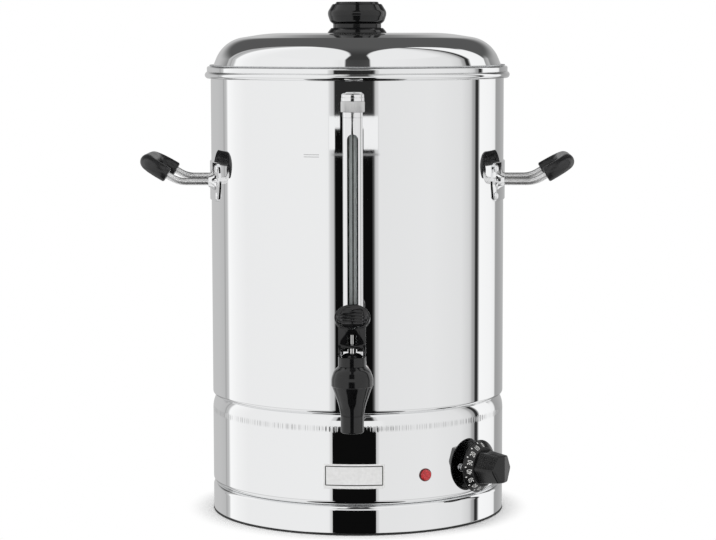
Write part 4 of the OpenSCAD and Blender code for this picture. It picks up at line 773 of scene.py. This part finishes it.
def rod_rings():
    """The bent rod: level legs, knees, tilted legs and the crossbar's corners, capped at both ends."""
    legs = [[(ROD_START, y, HANDLE_Z), (KNEE_X, y, HANDLE_Z), leg_point(HANDLE_REACH, y)]
            for y in (-LEG_Y, LEG_Y)]
    corners = [0, KNEE_R, CORNER_R, CORNER_R, KNEE_R, 0]
    path = bent_line(legs[0] + legs[1][::-1], corners, 32)
    rings = swept(path, ROD_R, 40)
    ends = [np.broadcast_to(path[k], rings[0].shape)[None] for k in (0, -1)]
    return np.concatenate([ends[0], rings, ends[1]]), False


def grip_rings():
    """The grip: its outside along the rod's path, with a small step down at both ends, and its bore back."""
    start = HANDLE_REACH - GRIP_LEG
    legs = [[leg_point(start, y), leg_point(HANDLE_REACH, y)] for y in (-LEG_Y, LEG_Y)]
    path = bent_line(legs[0] + legs[1][::-1], [0, CORNER_R, CORNER_R, 0], 14)
    first, last = unit(path[1] - path[0]), unit(path[-2] - path[-1])
    steps = np.array([[0.0], [0.3], [1.0]])
    path = np.concatenate([path[0] + steps * first, path[1:-1], (path[-1] + steps * last)[::-1]])
    radii = np.full(len(path), GRIP_R)
    radii[[0, -1]] = GRIP_R - 1
    radii[[1, -2]] = GRIP_R - 0.5
    return np.concatenate([swept(path, radii, 56), swept(path, ROD_R + 0.05, 56)[::-1]]), True


def make_handles():
    """Both handles: a rod swept along its bent path, a moulded grip, a curved plate with bowed ends, a
    flared boss round each leg, and four rivets. The left one is the right one with x turned round."""
    plate_shape = [(-49.5, -16.25, 6), (49.5, -16.25, 6), (53.5, 0, 30), (49.5, 16.25, 6), (-49.5, 16.25, 6),
                   (-53.5, 0, 30)]
    boss, normals = outline([(3.04, 0, 0), (11, 0, 0), (11, 1.6, 0.4), (8.4, 3.4, 5), (5.2, 6.4, 8),
                             (4.5, 9, 0.6), (3.04, 9, 0.3)], closed=True)
    for side, name in ((1, "right"), (-1, "left")):
        turn = np.array([side, 1, 1])
        for (rows, wrap), part, look, slot in ((rod_rings(), "rod", "rod_steel", "polished_steel"),
                                               (grip_rings(), "grip", "grip_plastic", "grip_plastic")):
            shaped_piece(f"handle_{part}_{name}_round", rows.reshape(-1, 3) * turn,
                         grid_faces(*rows.shape[:2], wrap, True), look, 50,
                         node=f"handle_{part}_{name}", slot=slot)
        parts = [wall_plate(plate_shape, BODY_R, MOUNT_R, math.pi / 2, HANDLE_Z, 0.3, 24)]
        for y in (-LEG_Y, LEG_Y):
            v, f, n = revolved(boss, -normals, 72)
            place = Matrix(((0, 0, 1, 115.65), (1, 0, 0, y), (0, 1, 0, HANDLE_Z), (0, 0, 0, 1)))
            parts.append((moved(v, place), f))
        v, f = joined(parts)
        shaped_piece(f"handle_plate_{name}_curved", v * turn, f, "polished_steel", 40,
                     node=f"handle_plate_{name}")
    places = [wall_place(side * math.pi / 2 + a, HANDLE_Z + z)
              for side in (-1, 1) for a in (-RIVET_ANGLE, RIVET_ANGLE) for z in (-11.5, 11.5)]
    turned_piece("rivets", [(0, 122.55, 0), (3.6, 122.55, 0.5), (3.6, 124.15, 0.1), (2, 124.15, 0.1),
                            (2, 126.2, 0.1), (3.6, 126.2, 0.2), (2.52, 127.8, 1), (0, 127.8, 0)],
                 40, "polished_steel", place=places, closed=False, node="handle_rivets")


# ---- tap and gauge


def raised(points, z):
    """Outline points (radius, height, corner) lifted by z."""
    return [(r, h + z, c) for r, h, c in points]


def make_tap():
    """Tap body with its spout, bore and inlet neck, the bonnet and the stem, all turned pieces."""
    axis = Matrix.Translation((0, TAP_Y, 0))
    spout = raised([(6.5, 0, 0.4), (9.2, 0, 1.6), (9.3, 14, 12), (10.7, 22, 40), (14.4, 32.8, 30),
                    (16.1, 37.3, 0.3), (16.7, 37.9, 0.4), (16.7, 43.9, 12), (14.6, 49.9, 8), (11, 53.3, 0.3),
                    (9.8, 53.3, 0.2), (9.8, 48.7, 0.2), (12, 46.5, 0.2), (12, 30.6, 0.2), (10, 28.2, 0.2),
                    (8.5, 28.2, 0.2), (8.5, 30.2, 0.3), (6.5, 30.2, 0.3)], SPOUT_Z)
    turned_piece("tap_spout", spout, 160, "black_plastic", place=axis, steps=10, node="tap_body")
    turned_piece("tap_inlet", [(8.05, 152, 0.1), (8.05, 162, 0.1), (11, 162, 0.1), (11, 152, 0.6)][::-1], 96,
                 "black_plastic", place=wall_place(0, SHANK_Z))
    bonnet = [(7.5, 142.6, 0.1), (9.77, 142.6, 0.1), (9.77, 146.6, 0.1), (11, 146.6, 0.4), (11, HEEL_Z, 0.6),
              (8.7, HEEL_Z, 0.4), (6.5, HEEL_Z + 2.1, 4), (3.25, HEEL_Z + 2.8, 0.2), (3.25, 150.1, 0.1),
              (7.5, 150.1, 0.1)]
    turned_piece("tap_bonnet_domed", bonnet, 128, "black_plastic", place=axis, node="tap_bonnet")
    foot = SEAT_Z + 3
    stem = [(0, foot, 0), (3.2, foot, 0.2), (3.2, foot + 4, 0.1), (6.3, foot + 4, 0.3),
            (6.3, foot + 5.5, 0.3), (3.2, foot + 5.5, 0.1), (3.2, STEM_TOP, 0.8), (0, STEM_TOP, 0)]
    turned_piece("tap_stem_plated", stem, 64, "plated_brass", place=axis, closed=False,
                 body="tap_stem", node="tap_stem")


def slotted_tube():
    """Vertices and faces of the gauge's shield: r (sin a, -cos a) with a from one edge of the slot round
    to the other. The slot's half width is w, and each edge lies at the angle whose sine is w / r; at
    the slot's ends w follows a half circle, and beyond them it is zero, so that the tube closes."""
    t = np.linspace(0, math.pi / 2, 13)
    low, high = SLOT_Z[0] + SLOT_HALF, SLOT_Z[1] - SLOT_HALF
    z = np.concatenate([[SHIELD_Z[0], SHIELD_Z[0] + 8], low - SLOT_HALF * np.cos(t),
                        np.linspace(low, high, 9)[1:-1], high + SLOT_HALF * np.cos(t[::-1]),
                        [SHIELD_Z[1] - 6, SHIELD_Z[1]]])
    past = np.maximum(np.maximum(low - z, z - high), 0)
    w = np.sqrt(np.maximum(SLOT_HALF**2 - past**2, 0))
    u = np.linspace(0, 1, 121)
    sheets = []
    for r in (SHIELD_R, SHIELD_R - SHEET):
        edge = np.arcsin(w / r)[:, None]
        a = edge + u * (2 * math.pi - 2 * edge)
        sheets.append(np.stack([r * np.sin(a), GAUGE_Y - r * np.cos(a), z[:, None] + 0 * a], -1))
    rows, cols = len(z), len(u)
    count = rows * cols
    faces = grid_faces(rows, cols)
    index = np.arange(count).reshape(rows, cols)
    walls = []
    for k in (0, cols - 1):
        cut = (w[:-1] + w[1:]) > 1e-6
        side = index[:, k]
        walls.append(np.stack([side[:-1], side[1:], side[1:] + count, side[:-1] + count], -1)[cut])
    for k in (0, rows - 1):
        rim = index[k]
        walls.append(np.stack([rim[:-1], rim[1:], rim[1:] + count, rim[:-1] + count], -1))
    return np.concatenate(sheets).reshape(-1, 3), np.concatenate([faces, faces + count, *walls])


def knurled_band():
    """Vertices and faces of the cap's band: its radius is cut back by depth (1 - cos(n a)) / 2 all round,
    for n teeth, and it runs in to the axis above and below."""
    depth = sizes().knurl_depth / MM
    low, high = CAP_Z
    profile, _ = outline([(0, low, 0), (9.6, low, 0.5), (9.6, high, 0.5), (0, high, 0)], steps=4)
    a = full_turn(8 * CAP_TEETH)
    r = profile[:, :1] - np.where(profile[:, :1] > 9, depth * (0.5 - 0.5 * np.cos(CAP_TEETH * a)), 0)
    v = around(r, a, profile[:, 1:]) + np.array([0, GAUGE_Y, 0])
    return v.reshape(-1, 3), grid_faces(len(profile), len(a), False, True)


def gauge_strip(r0, r1, half, z0, z1):
    """Vertices and faces of an upright strip in the gauge's bore: r (sin a, -cos a) between the radii r0
    and r1, with a within half of the back."""
    a = np.radians(np.linspace(180 - half, 180 + half, 25))
    rows = np.stack([np.stack([r * np.sin(a), GAUGE_Y - r * np.cos(a), z + 0 * a], -1)
                     for r, z in ((r1, z0), (r1, z1), (r0, z1), (r0, z0))])
    ends = [[25 * k + j for k in range(4)] for j in (0, 24)]
    return rows.reshape(-1, 3), [*grid_faces(4, 25, True, False).tolist(), *ends]


def make_gauge():
    """Glass with its reading strip, slotted shield, and the cap in three finishes."""
    axis = Matrix.Translation((0, GAUGE_Y, 0))
    for name, radii, half, slot in (("gauge_stripe", (3.3, 3.45), 80, "white_plastic"),
                                    ("label_line", (3.2, 3.29), 12, "black_plastic")):
        shaped_piece(f"gauge_strip_{half}", *gauge_strip(*radii, half, 151, 338), name, 50, slot=slot)
    turned_piece("gauge_tube", [(3.5, 142, 0.2), (5, 142, 0.2), (5, 347.4, 0.4), (3.5, 347.4, 0.4)], 96,
                 "gauge_glass", place=axis, node="gauge_glass")
    shaped_piece("gauge_shield_slotted", *slotted_tube(), "bright_plating", 40, node="gauge_shield",
                 slot="polished_steel")
    turned_piece("gauge_cap_ring", [(5.05, SHIELD_Z[1], 0.1), (8, SHIELD_Z[1], 0.3), (8, CAP_Z[0], 0.2),
                                    (5.05, CAP_Z[0], 0.1)],
                 128, "bright_plating", place=axis, slot="polished_steel")
    shaped_piece("gauge_cap_band", *knurled_band(), "frosted_plating", 50, node="gauge_cap")
    turned_piece("gauge_cap_top", [(0, CAP_Z[1], 0), (9.2, CAP_Z[1], 0.3), (9.2, 357.7, 0.4),
                                   (8.9, 358.0, 0.1), (9.0, 358.3, 0.2), (9.0, 360.4, 0.9),
                                   (7.6, 361.3, 1.2), (0, 361.4, 0)],
                 128, "bright_plating", place=axis, closed=False, slot="polished_steel")


# ---- dial, lamp and marks


def dial_grip():
    """Vertices and faces of the dial's grip. Its section is a hexagon with rounded corners,
    r = a / (sum of max(cos(t - face), 0)^20)^(1/20); it narrows to the front, its rim is rounded, and
    its front falls away on both sides of a ridge, tall - 3 |x| / 13."""
    t = full_turn(144)
    faces_at = np.radians(30 + 60 * np.arange(6))
    shape = np.sum(np.maximum(np.cos(t[:, None] - faces_at), 0) ** 20, 1) ** (-1 / 20)
    tall, fillet = 21.0, 1.4
    rise = np.linspace(0, 1, 12)[:, None]
    start, end = 15.5 * math.cos(math.pi / 6), 13.0 * math.cos(math.pi / 6)
    rim_r = end * shape
    rim_z = tall - 3 * np.abs(rim_r * np.cos(t)) / 13 - fillet
    side_r = start + (end - start) * rise
    side = (side_r * shape, rise * rim_z)
    a = np.linspace(0, math.pi / 2, 9)[1:, None]
    edge = (rim_r - fillet * (1 - np.cos(a)), rim_z + fillet * np.sin(a))
    s = np.linspace(1, 0, 16)[1:, None]
    top_r = s * (rim_r - fillet)
    drop = np.abs(rim_r * np.cos(t)) - np.sqrt((top_r * np.cos(t)) ** 2 + 0.3)
    top = (top_r, rim_z + fillet + 3 * drop / 13)
    r, z = (np.concatenate(x) for x in zip((0 * side[0][:1], side[1][:1]), side, edge, top))
    return around(r, t, z + DIAL_FRONT).reshape(-1, 3), grid_faces(len(r), len(t), False, True)


def word_shape(word, height):
    """Vertices, in millimetres round their middle, and faces of a short word as a thin solid."""
    curve = bpy.data.curves.new("word", "FONT")
    curve.body = word
    curve.extrude = 0.04
    curve.resolution_u = 3
    obj = linked("word", curve)
    mesh = bpy.data.meshes.new_from_object(obj.evaluated_get(bpy.context.evaluated_depsgraph_get()))
    v = np.empty(3 * len(mesh.vertices))
    mesh.vertices.foreach_get("co", v)
    faces = [list(p.vertices) for p in mesh.polygons]
    for item, pool in ((obj, bpy.data.objects), (mesh, bpy.data.meshes), (curve, bpy.data.curves)):
        pool.remove(item)
    v = v.reshape(-1, 3)
    span = v[:, :2].max(0) - v[:, :2].min(0)
    v[:, :2] -= v[:, :2].min(0) + span / 2
    v[:, :2] *= height / span[1]
    v[:, 2] = 0.04 * np.sign(v[:, 2])
    return v, faces


def on_cone(v, middle, angle):
    """Flat shapes (right, up, thickness) laid on the dial's cone: up is outward, thickness square to it."""
    rho = middle + v[:, 1]
    a = angle - v[:, 0] / rho
    slope = unit(np.array([5.5, 5.6]))
    z = DIAL_BACK + 1.5 + (21.6 - rho) * 5.5 / 5.6 + slope[1] * v[:, 2]
    return around(rho + slope[0] * v[:, 2], a, z)


def make_dial():
    """Dial's skirt and grip, the plain numbers on its cone and the dots between them."""
    place = wall_place(DIAL_AZIMUTH, DIAL_Z)
    body = "thermostat_dial"
    turned_piece("dial_skirt", raised([(0, 0, 0), (6, 0, 0.3), (6, 2, 0.2), (19.5, 2, 0.3), (19.5, 0, 0.3),
                                       (21.4, 0, 0.2), (22, 0.75, 0.5), (21.6, 1.5, 0.2), (16, 7, 1),
                                       (0, 7, 0)], DIAL_BACK),
                 160, "dial_plastic", place=place, closed=False, body=body, node="thermostat_dial")
    v, f = dial_grip()
    shaped_piece("dial_grip", moved(v, place), f, "dial_plastic", 60, body=body)
    height = sizes().digit_height / MM
    words = []
    for k in range(12):
        v, f = word_shape(str(10 * k), height)
        words.append((moved(on_cone(v, 18.3, math.radians(90 + 24 * k)), place), f))
    shaped_piece("dial_numbers", *joined(words), "dial_marks", body=body, slot="dial_plastic")
    r = sizes().dot_diameter / MM / 2
    t = full_turn(16)
    rows = np.array([[0, -0.04], [r, -0.04], [r, 0.04], [0, 0.04]])
    disc = around(rows[:, :1], t, rows[:, 1:]).reshape(-1, 3)
    faces = grid_faces(4, 16, False, True)
    dots = [(moved(on_cone(disc, 20.5, math.radians(102 + 24 * k)), place), faces) for k in range(11)]
    shaped_piece("dial_dots", *joined(dots), "dial_marks", body=body, slot="dial_plastic")


def make_lamp():
    """The lamp's domed lens and the darker rim round it."""
    place = wall_place(LAMP_AZIMUTH, LAMP_Z, BODY_R)
    turned_piece("lamp_rim", [(4.3, -0.4, 0.1), (5.4, -0.4, 0.1), (5.4, 0.8, 0.3), (4.3, 0.8, 0.1)], 96,
                 "lens_rim", place=place, slot="red_lens")
    turned_piece("lamp_dome", [(0, -0.4, 0), (4.6, -0.4, 0.1), (4.6, 0.9, 0.1), (4.2, 3, 1.6), (0, 3, 0)], 96,
                 "red_lens", place=place, closed=False, steps=10, node="lamp_lens")


def make_marks():
    """The bare plate on the drum with its printed line, and the tank's plain level marks."""
    width, height, line = (x / MM for x in (sizes().label_width, sizes().label_height, sizes().border_width))
    v, f = wall_plate(box_outline(width, height, 1), BODY_R, BODY_R + 0.35, 0, LABEL_Z, 0.12, 24)
    shaped_piece("label_plate", v, f, "label_plate", 50, slot="polished_steel")
    w, h = width - 2.4, height - 3.9
    v, f = wall_line(box_outline(w, h, line + 0.05), line, BODY_R + 0.3, BODY_R + 0.38, 0, LABEL_Z + 0.55)
    shaped_piece("label_line", v, f, "label_line", 50, slot="black_plastic")
    mark = box_outline(13, 0.5, 0.1)
    lines = [wall_plate(mark, BODY_R - 0.1, BODY_R + 0.03, LEVELS_AZIMUTH, z, 0.01, 12) for z in LEVELS_Z]
    shaped_piece("level_lines", *joined(lines), "etched_mark", 50, slot="polished_steel")


OWN_PIECES = {
    "foot_ring", "plinth_ring", "base_drum", "tank_wall", "lid_shell", "lid_knob_collar", "lid_knob",
    "handle_plate_left", "handle_plate_right", "handle_rod_left", "handle_rod_right", "handle_grip_left",
    "handle_grip_right", "handle_rivets", "tap_body", "tap_bonnet", "tap_stem", "gauge_glass",
    "gauge_shield", "gauge_cap", "thermostat_dial", "lamp_lens",
}


def make_fittings():
    """Smooth copies of the construction nodes that keep their own shape: doubles merged, crisp only at
    edges sharper than 30 degrees. The spring shortens towards its foot as the stem lifts it."""
    looks = {row["node"]: row["material_slot"] for row in frame["record"]["subparts"]}
    for body, nodes in frame["record"]["behaviour"]["bodies"].items():
        for node in nodes:
            if node in OWN_PIECES:
                continue
            mesh = welded(frame["nodes"][node].data.copy(), 30, False)
            piece = place_piece(node + "_finished", mesh, looks[node], body, node)
            if node == "tap_spring":
                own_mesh(piece)


# ---- stage


def make_camera():
    """The camera where the photograph was taken from."""
    distance, height, pitch, azimuth = 1.9917, 0.4126, 0.103606, math.radians(1.5)
    data = bpy.data.cameras.new("camera")
    data.lens, data.sensor_width = 116.8, 36.0
    cam = linked("camera", data)
    cam.location = (distance * math.sin(azimuth), -distance * math.cos(azimuth), height)
    cam.rotation_euler = Euler((math.pi / 2 - pitch, 0.00198, azimuth - 0.00037))
    bpy.context.scene.camera = cam


def wall_stops():
    """Brightness of the tent's walls round the urn: degrees from the camera's side, then level."""
    return [(-180, 0.55), (-141, 0.57), (-128.5, 0.54), (-126.7, 0.36), (-125.2, 0.56), (-122.8, 0.5),
            (-119.6, 1.06), (-108, 0.98), (-95, 0.93), (-24, 0.94), (-20.4, 0.93), (-19.4, 0.66),
            (-16.9, 0.62), (-16.2, SLOT_LEVEL), (13.9, SLOT_LEVEL), (14.9, 0.62), (16.4, 0.6), (18, 0.86),
            (60, 0.88), (90, 0.83), (99, 0.72), (101.5, 0.62), (103, 0.42), (106, 0.36), (106.8, 0.03),
            (110.6, 0.03), (112, 1.04), (130, 1.0), (138.4, 0.93), (140.6, 0.36), (147, 0.38), (180, 0.55)]


class Sky(Nodes):
    """The world's node tree under construction."""

    def between(self, value, start, end):
        """0 up to start, 1 from end on, and a smooth step between."""
        low, high = (0, 1) if start < end else (1, 0)
        return self.node("ShaderNodeMapRange", interpolation_type="SMOOTHSTEP", Value=value, To_Min=low,
                         To_Max=high, From_Min=min(start, end), From_Max=max(start, end)).outputs["Result"]

    def span(self, value, start, end, soft):
        """1 from start to end and 0 outside, with soft edges."""
        return self.times(self.between(value, start - soft, start), self.between(value, end + soft, end))

    def mix(self, share, first, second):
        """first where share is 0, second where it is 1; all three are plain numbers or sockets."""
        n = self.node("ShaderNodeMix", data_type="FLOAT", Factor=share, A=first, B=second)
        return n.outputs["Result"]

    def over(self, level, second, *shares):
        """The level, with the second one over it where all the shares are 1."""
        share = shares[0] if len(shares) == 1 else self.times(*shares)
        return self.mix(share, level, second)


def make_world():
    """A light tent, white to the camera. In reflections its walls follow wall_stops by direction, with
    a dark slot towards the camera that two pale panes and a thin shelf cross. Above the horizon the slot
    is closed up to CLOSED_RISE, and goes on as a trunk, half as wide as 0.105 + 0.53 (0.5 - v)^2 below
    v = 0.5 and 0.25 (v - 0.6) above v = 0.6, into a dark ceiling at the back: u and v are the direction's
    x and -y over its z. Under the horizon a grey table edge and a pale table run round, and the slot
    spreads out over the table near the urn."""
    world = bpy.data.worlds.new("tent")
    bpy.context.scene.world = world
    world.use_nodes = True
    world.node_tree.nodes.clear()
    k = Sky(world.node_tree)
    direction = k.node("ShaderNodeTexCoord").outputs["Generated"]
    x, y, z = k.node("ShaderNodeSeparateXYZ", Vector=direction).outputs
    front = k.times(y, -1)
    azimuth = k.math("DEGREES", k.math("ARCTAN2", x, front))
    aside = k.math("ABSOLUTE", azimuth)
    rise = k.math("DEGREES", k.math("ARCSINE", z))

    ramp = k.node("ShaderNodeValToRGB", Fac=k.math("DIVIDE", k.plus(azimuth, 180), 360))
    stops = ramp.color_ramp.elements
    bands = wall_stops()
    for stop, (degrees, level) in zip(stops, (bands[0], bands[-1])):
        stop.color = (level, level, level, 1)
    for degrees, level in bands[1:-1]:
        stops.new((degrees + 180) / 360).color = (level, level, level, 1)
    walls = ramp.outputs["Color"]

    # the slot's haze, panes and shelf
    level = k.most(walls, k.times(k.between(rise, -2.2, -2.1), 0.025))
    beside = k.most(k.span(azimuth, 6.5, 17, 0.6), k.span(azimuth, -20, -15.9, 0.4))
    near = k.most(k.span(azimuth, 3, 7, 0.5), k.span(azimuth, -17, -12, 0.5))
    pane = k.most(k.times(k.span(rise, *PANE_RISE, 0.03), beside),
                  k.times(k.span(rise, *PANE_HEAD, 0.03), near))
    level = k.over(level, 0.97, pane)
    level = k.over(level, 0.3, k.span(rise, *SHELF_RISE, 0.02), k.between(aside, 20, 15))
    level = k.over(level, SLOT_LEVEL, k.span(azimuth, -18.2, 15.4, 0.3), k.between(rise, -9.6, -9.9))
    level = k.over(level, 0.92, k.span(rise, *CLOSED_RISE, 1), k.between(aside, 24, 18))

    # the trunk and the ceiling
    height = k.most(z, 0.05)
    u, v = k.math("DIVIDE", x, height), k.math("DIVIDE", front, height)
    flare = k.most(k.minus(0.5, v), 0)
    foot = k.most(k.minus(v, 0.6), 0)
    half = k.plus(k.plus(k.times(k.times(flare, flare), 0.53), k.times(foot, 0.25)), 0.105)
    off = k.minus(k.math("ABSOLUTE", k.minus(u, 0.035)), half)
    high = k.between(rise, 38, 44)
    level = k.over(level, 0.92, high, k.between(aside, 96, 82))
    level = k.over(level, k.mix(k.between(v, 0.6, -0.1), 0.045, CEILING), high, k.between(off, 0.02, -0.02))
    beyond = k.most(k.minus(k.math("ABSOLUTE", u), 0.33), 0)
    limit = k.plus(v, k.times(beyond, 0.92))
    level = k.over(level, CEILING, k.between(limit, -0.2, -0.3), k.between(rise, 8, 22))

    # the table
    level = k.over(level, k.times(walls, 0.6), k.between(rise, *TABLE_EDGE))
    level = k.over(level, k.times(walls, 0.94), k.between(rise, *TABLE_TOP))
    fall = k.most(k.minus(-32, rise), 0)
    reach = k.plus(k.times(fall, 1.6), 16.5)
    inside = k.minus(k.math("ABSOLUTE", k.plus(azimuth, 1)), reach)
    level = k.over(level, SLOT_LEVEL, k.between(inside, 2, -1), k.between(rise, -13, -14))

    ray = k.node("ShaderNodeLightPath").outputs
    mirrored = k.most(ray["Is Glossy Ray"], ray["Is Transmission Ray"])
    level = k.mix(ray["Is Camera Ray"], k.mix(mirrored, 0.62, level), 1.0)
    shine = k.node("ShaderNodeBackground", Color=(1, 1, 1, 1), Strength=level)
    k.node("ShaderNodeOutputWorld", Surface=shine.outputs[0])


def make_floor():
    """A pale floor: it takes the urn's shadow close to the foot and is plain white further out."""
    mesh = bpy.data.meshes.new("floor")
    e = 30.0
    mesh.from_pydata([(-e, -e, 0), (e, -e, 0), (e, e, 0), (-e, e, 0)], [], [(0, 1, 2, 3)])
    obj = linked("floor", mesh)
    s = Shader("floor", (0.9, 0.9, 0.9), 0.7)
    radius = s.node("ShaderNodeVectorMath", operation="LENGTH")
    s.feed(radius.inputs[0], s.place)
    fade = s.node("ShaderNodeMapRange", Value=radius.outputs["Value"], From_Min=0.122, From_Max=0.15,
                  interpolation_type="SMOOTHSTEP")
    glow = s.node("ShaderNodeEmission", Color=(1, 1, 1, 1), Strength=1.0)
    ray = s.node("ShaderNodeLightPath")
    mix = s.node("ShaderNodeMixShader", Fac=s.times(fade.outputs[0], ray.outputs["Is Camera Ray"]))
    s.feed(mix.inputs[1], s.bsdf.outputs[0])
    s.feed(mix.inputs[2], glow.outputs[0])
    out = [n for n in s.tree.nodes if n.type == "OUTPUT_MATERIAL"][0]
    s.feed(out.inputs["Surface"], mix.outputs[0])
    mesh.materials.append(s.mat)
    obj.visible_glossy = False


def make_lamps():
    """Three soft area lamps, left, right and above."""
    for name, place, size, power in (
            ("lamp_left", (-1.6, -1.2, 1.5), 1.4, 14), ("lamp_right", (1.6, -1.2, 1.5), 1.4, 11),
            ("lamp_top", (0, 0.2, 2.2), 1.8, 16)):
        data = bpy.data.lights.new(name, "AREA")
        data.shape, data.size, data.energy = "SQUARE", size, power
        lamp = linked(name, data)
        lamp.location = place
        aim = Vector((0, 0, 0.2)) - Vector(place)
        lamp.rotation_euler = aim.to_track_quat("-Z", "Y").to_euler()
        lamp.visible_glossy = False


def make_stage():
    """Camera, tent, floor and lamps."""
    make_camera()
    make_world()
    make_floor()
    make_lamps()
    bpy.context.scene.view_settings.view_transform = "Standard"


# ---- add-on


def operator(name, label, note, run):
    """An Operator class that runs one of the functions above."""

    def execute(self, context):
        run()
        return {"FINISHED"}

    return type(f"URN_OT_{name}", (bpy.types.Operator,),
                {"__doc__": note, "bl_idname": f"urn.{name}", "bl_label": label, "execute": execute})


STEPS = tuple(operator(*row) for row in (
    ("stage", "Stage", "Set up the camera, floor, tent and lamps", make_stage),
    ("materials", "Finishes", "Make the finishes, also for the construction's own pieces", make_materials),
    ("body", "Body", "Build the foot, plinth, drum and tank", make_body),
    ("lid", "Lid", "Build the lid with its collar and knob", make_lid),
    ("handles", "Handles", "Build the handles: plates, bosses, rods, grips and rivets", make_handles),
    ("tap", "Tap", "Build the tap's body, bonnet and stem", make_tap),
    ("gauge", "Gauge", "Build the level gauge: glass, slotted shield and knurled cap", make_gauge),
    ("dial", "Dial", "Build the thermostat's dial with its plain numbers", make_dial),
    ("lamp", "Lamp", "Build the lamp's lens and rim", make_lamp),
    ("marks", "Plate and marks", "Build the bare plate and the level marks", make_marks),
    ("fittings", "Fittings", "Smooth copies of the fittings that keep their shape", make_fittings),
))


class URN_PT_panel(bpy.types.Panel):
    """Sizes, colours and the buttons that build the urn's looks"""

    bl_label = "Hot water urn"
    bl_idname = "URN_PT_panel"
    bl_space_type = "VIEW_3D"
    bl_region_type = "UI"
    bl_category = "Urn"

    def draw(self, context):
        for group in (context.scene.urn_sizes, context.scene.urn_colours):
            for name in type(group).__annotations__:
                self.layout.prop(group, name)
        for step in STEPS:
            self.layout.operator(step.bl_idname)


CLASSES = (UrnSizes, UrnColours, *STEPS, URN_PT_panel)


def register():
    for cls in CLASSES:
        bpy.utils.register_class(cls)
    bpy.types.Scene.urn_sizes = bpy.props.PointerProperty(type=UrnSizes)
    bpy.types.Scene.urn_colours = bpy.props.PointerProperty(type=UrnColours)


def unregister():
    del bpy.types.Scene.urn_colours
    del bpy.types.Scene.urn_sizes
    for cls in reversed(CLASSES):
        bpy.utils.unregister_class(cls)


def main():
    """Registers the classes, runs the operators in order and writes both boxes."""
    register()
    for step in STEPS:
        group, name = step.bl_idname.split(".")
        getattr(getattr(bpy.ops, group), name)()


if __name__ == "__main__":
    main()
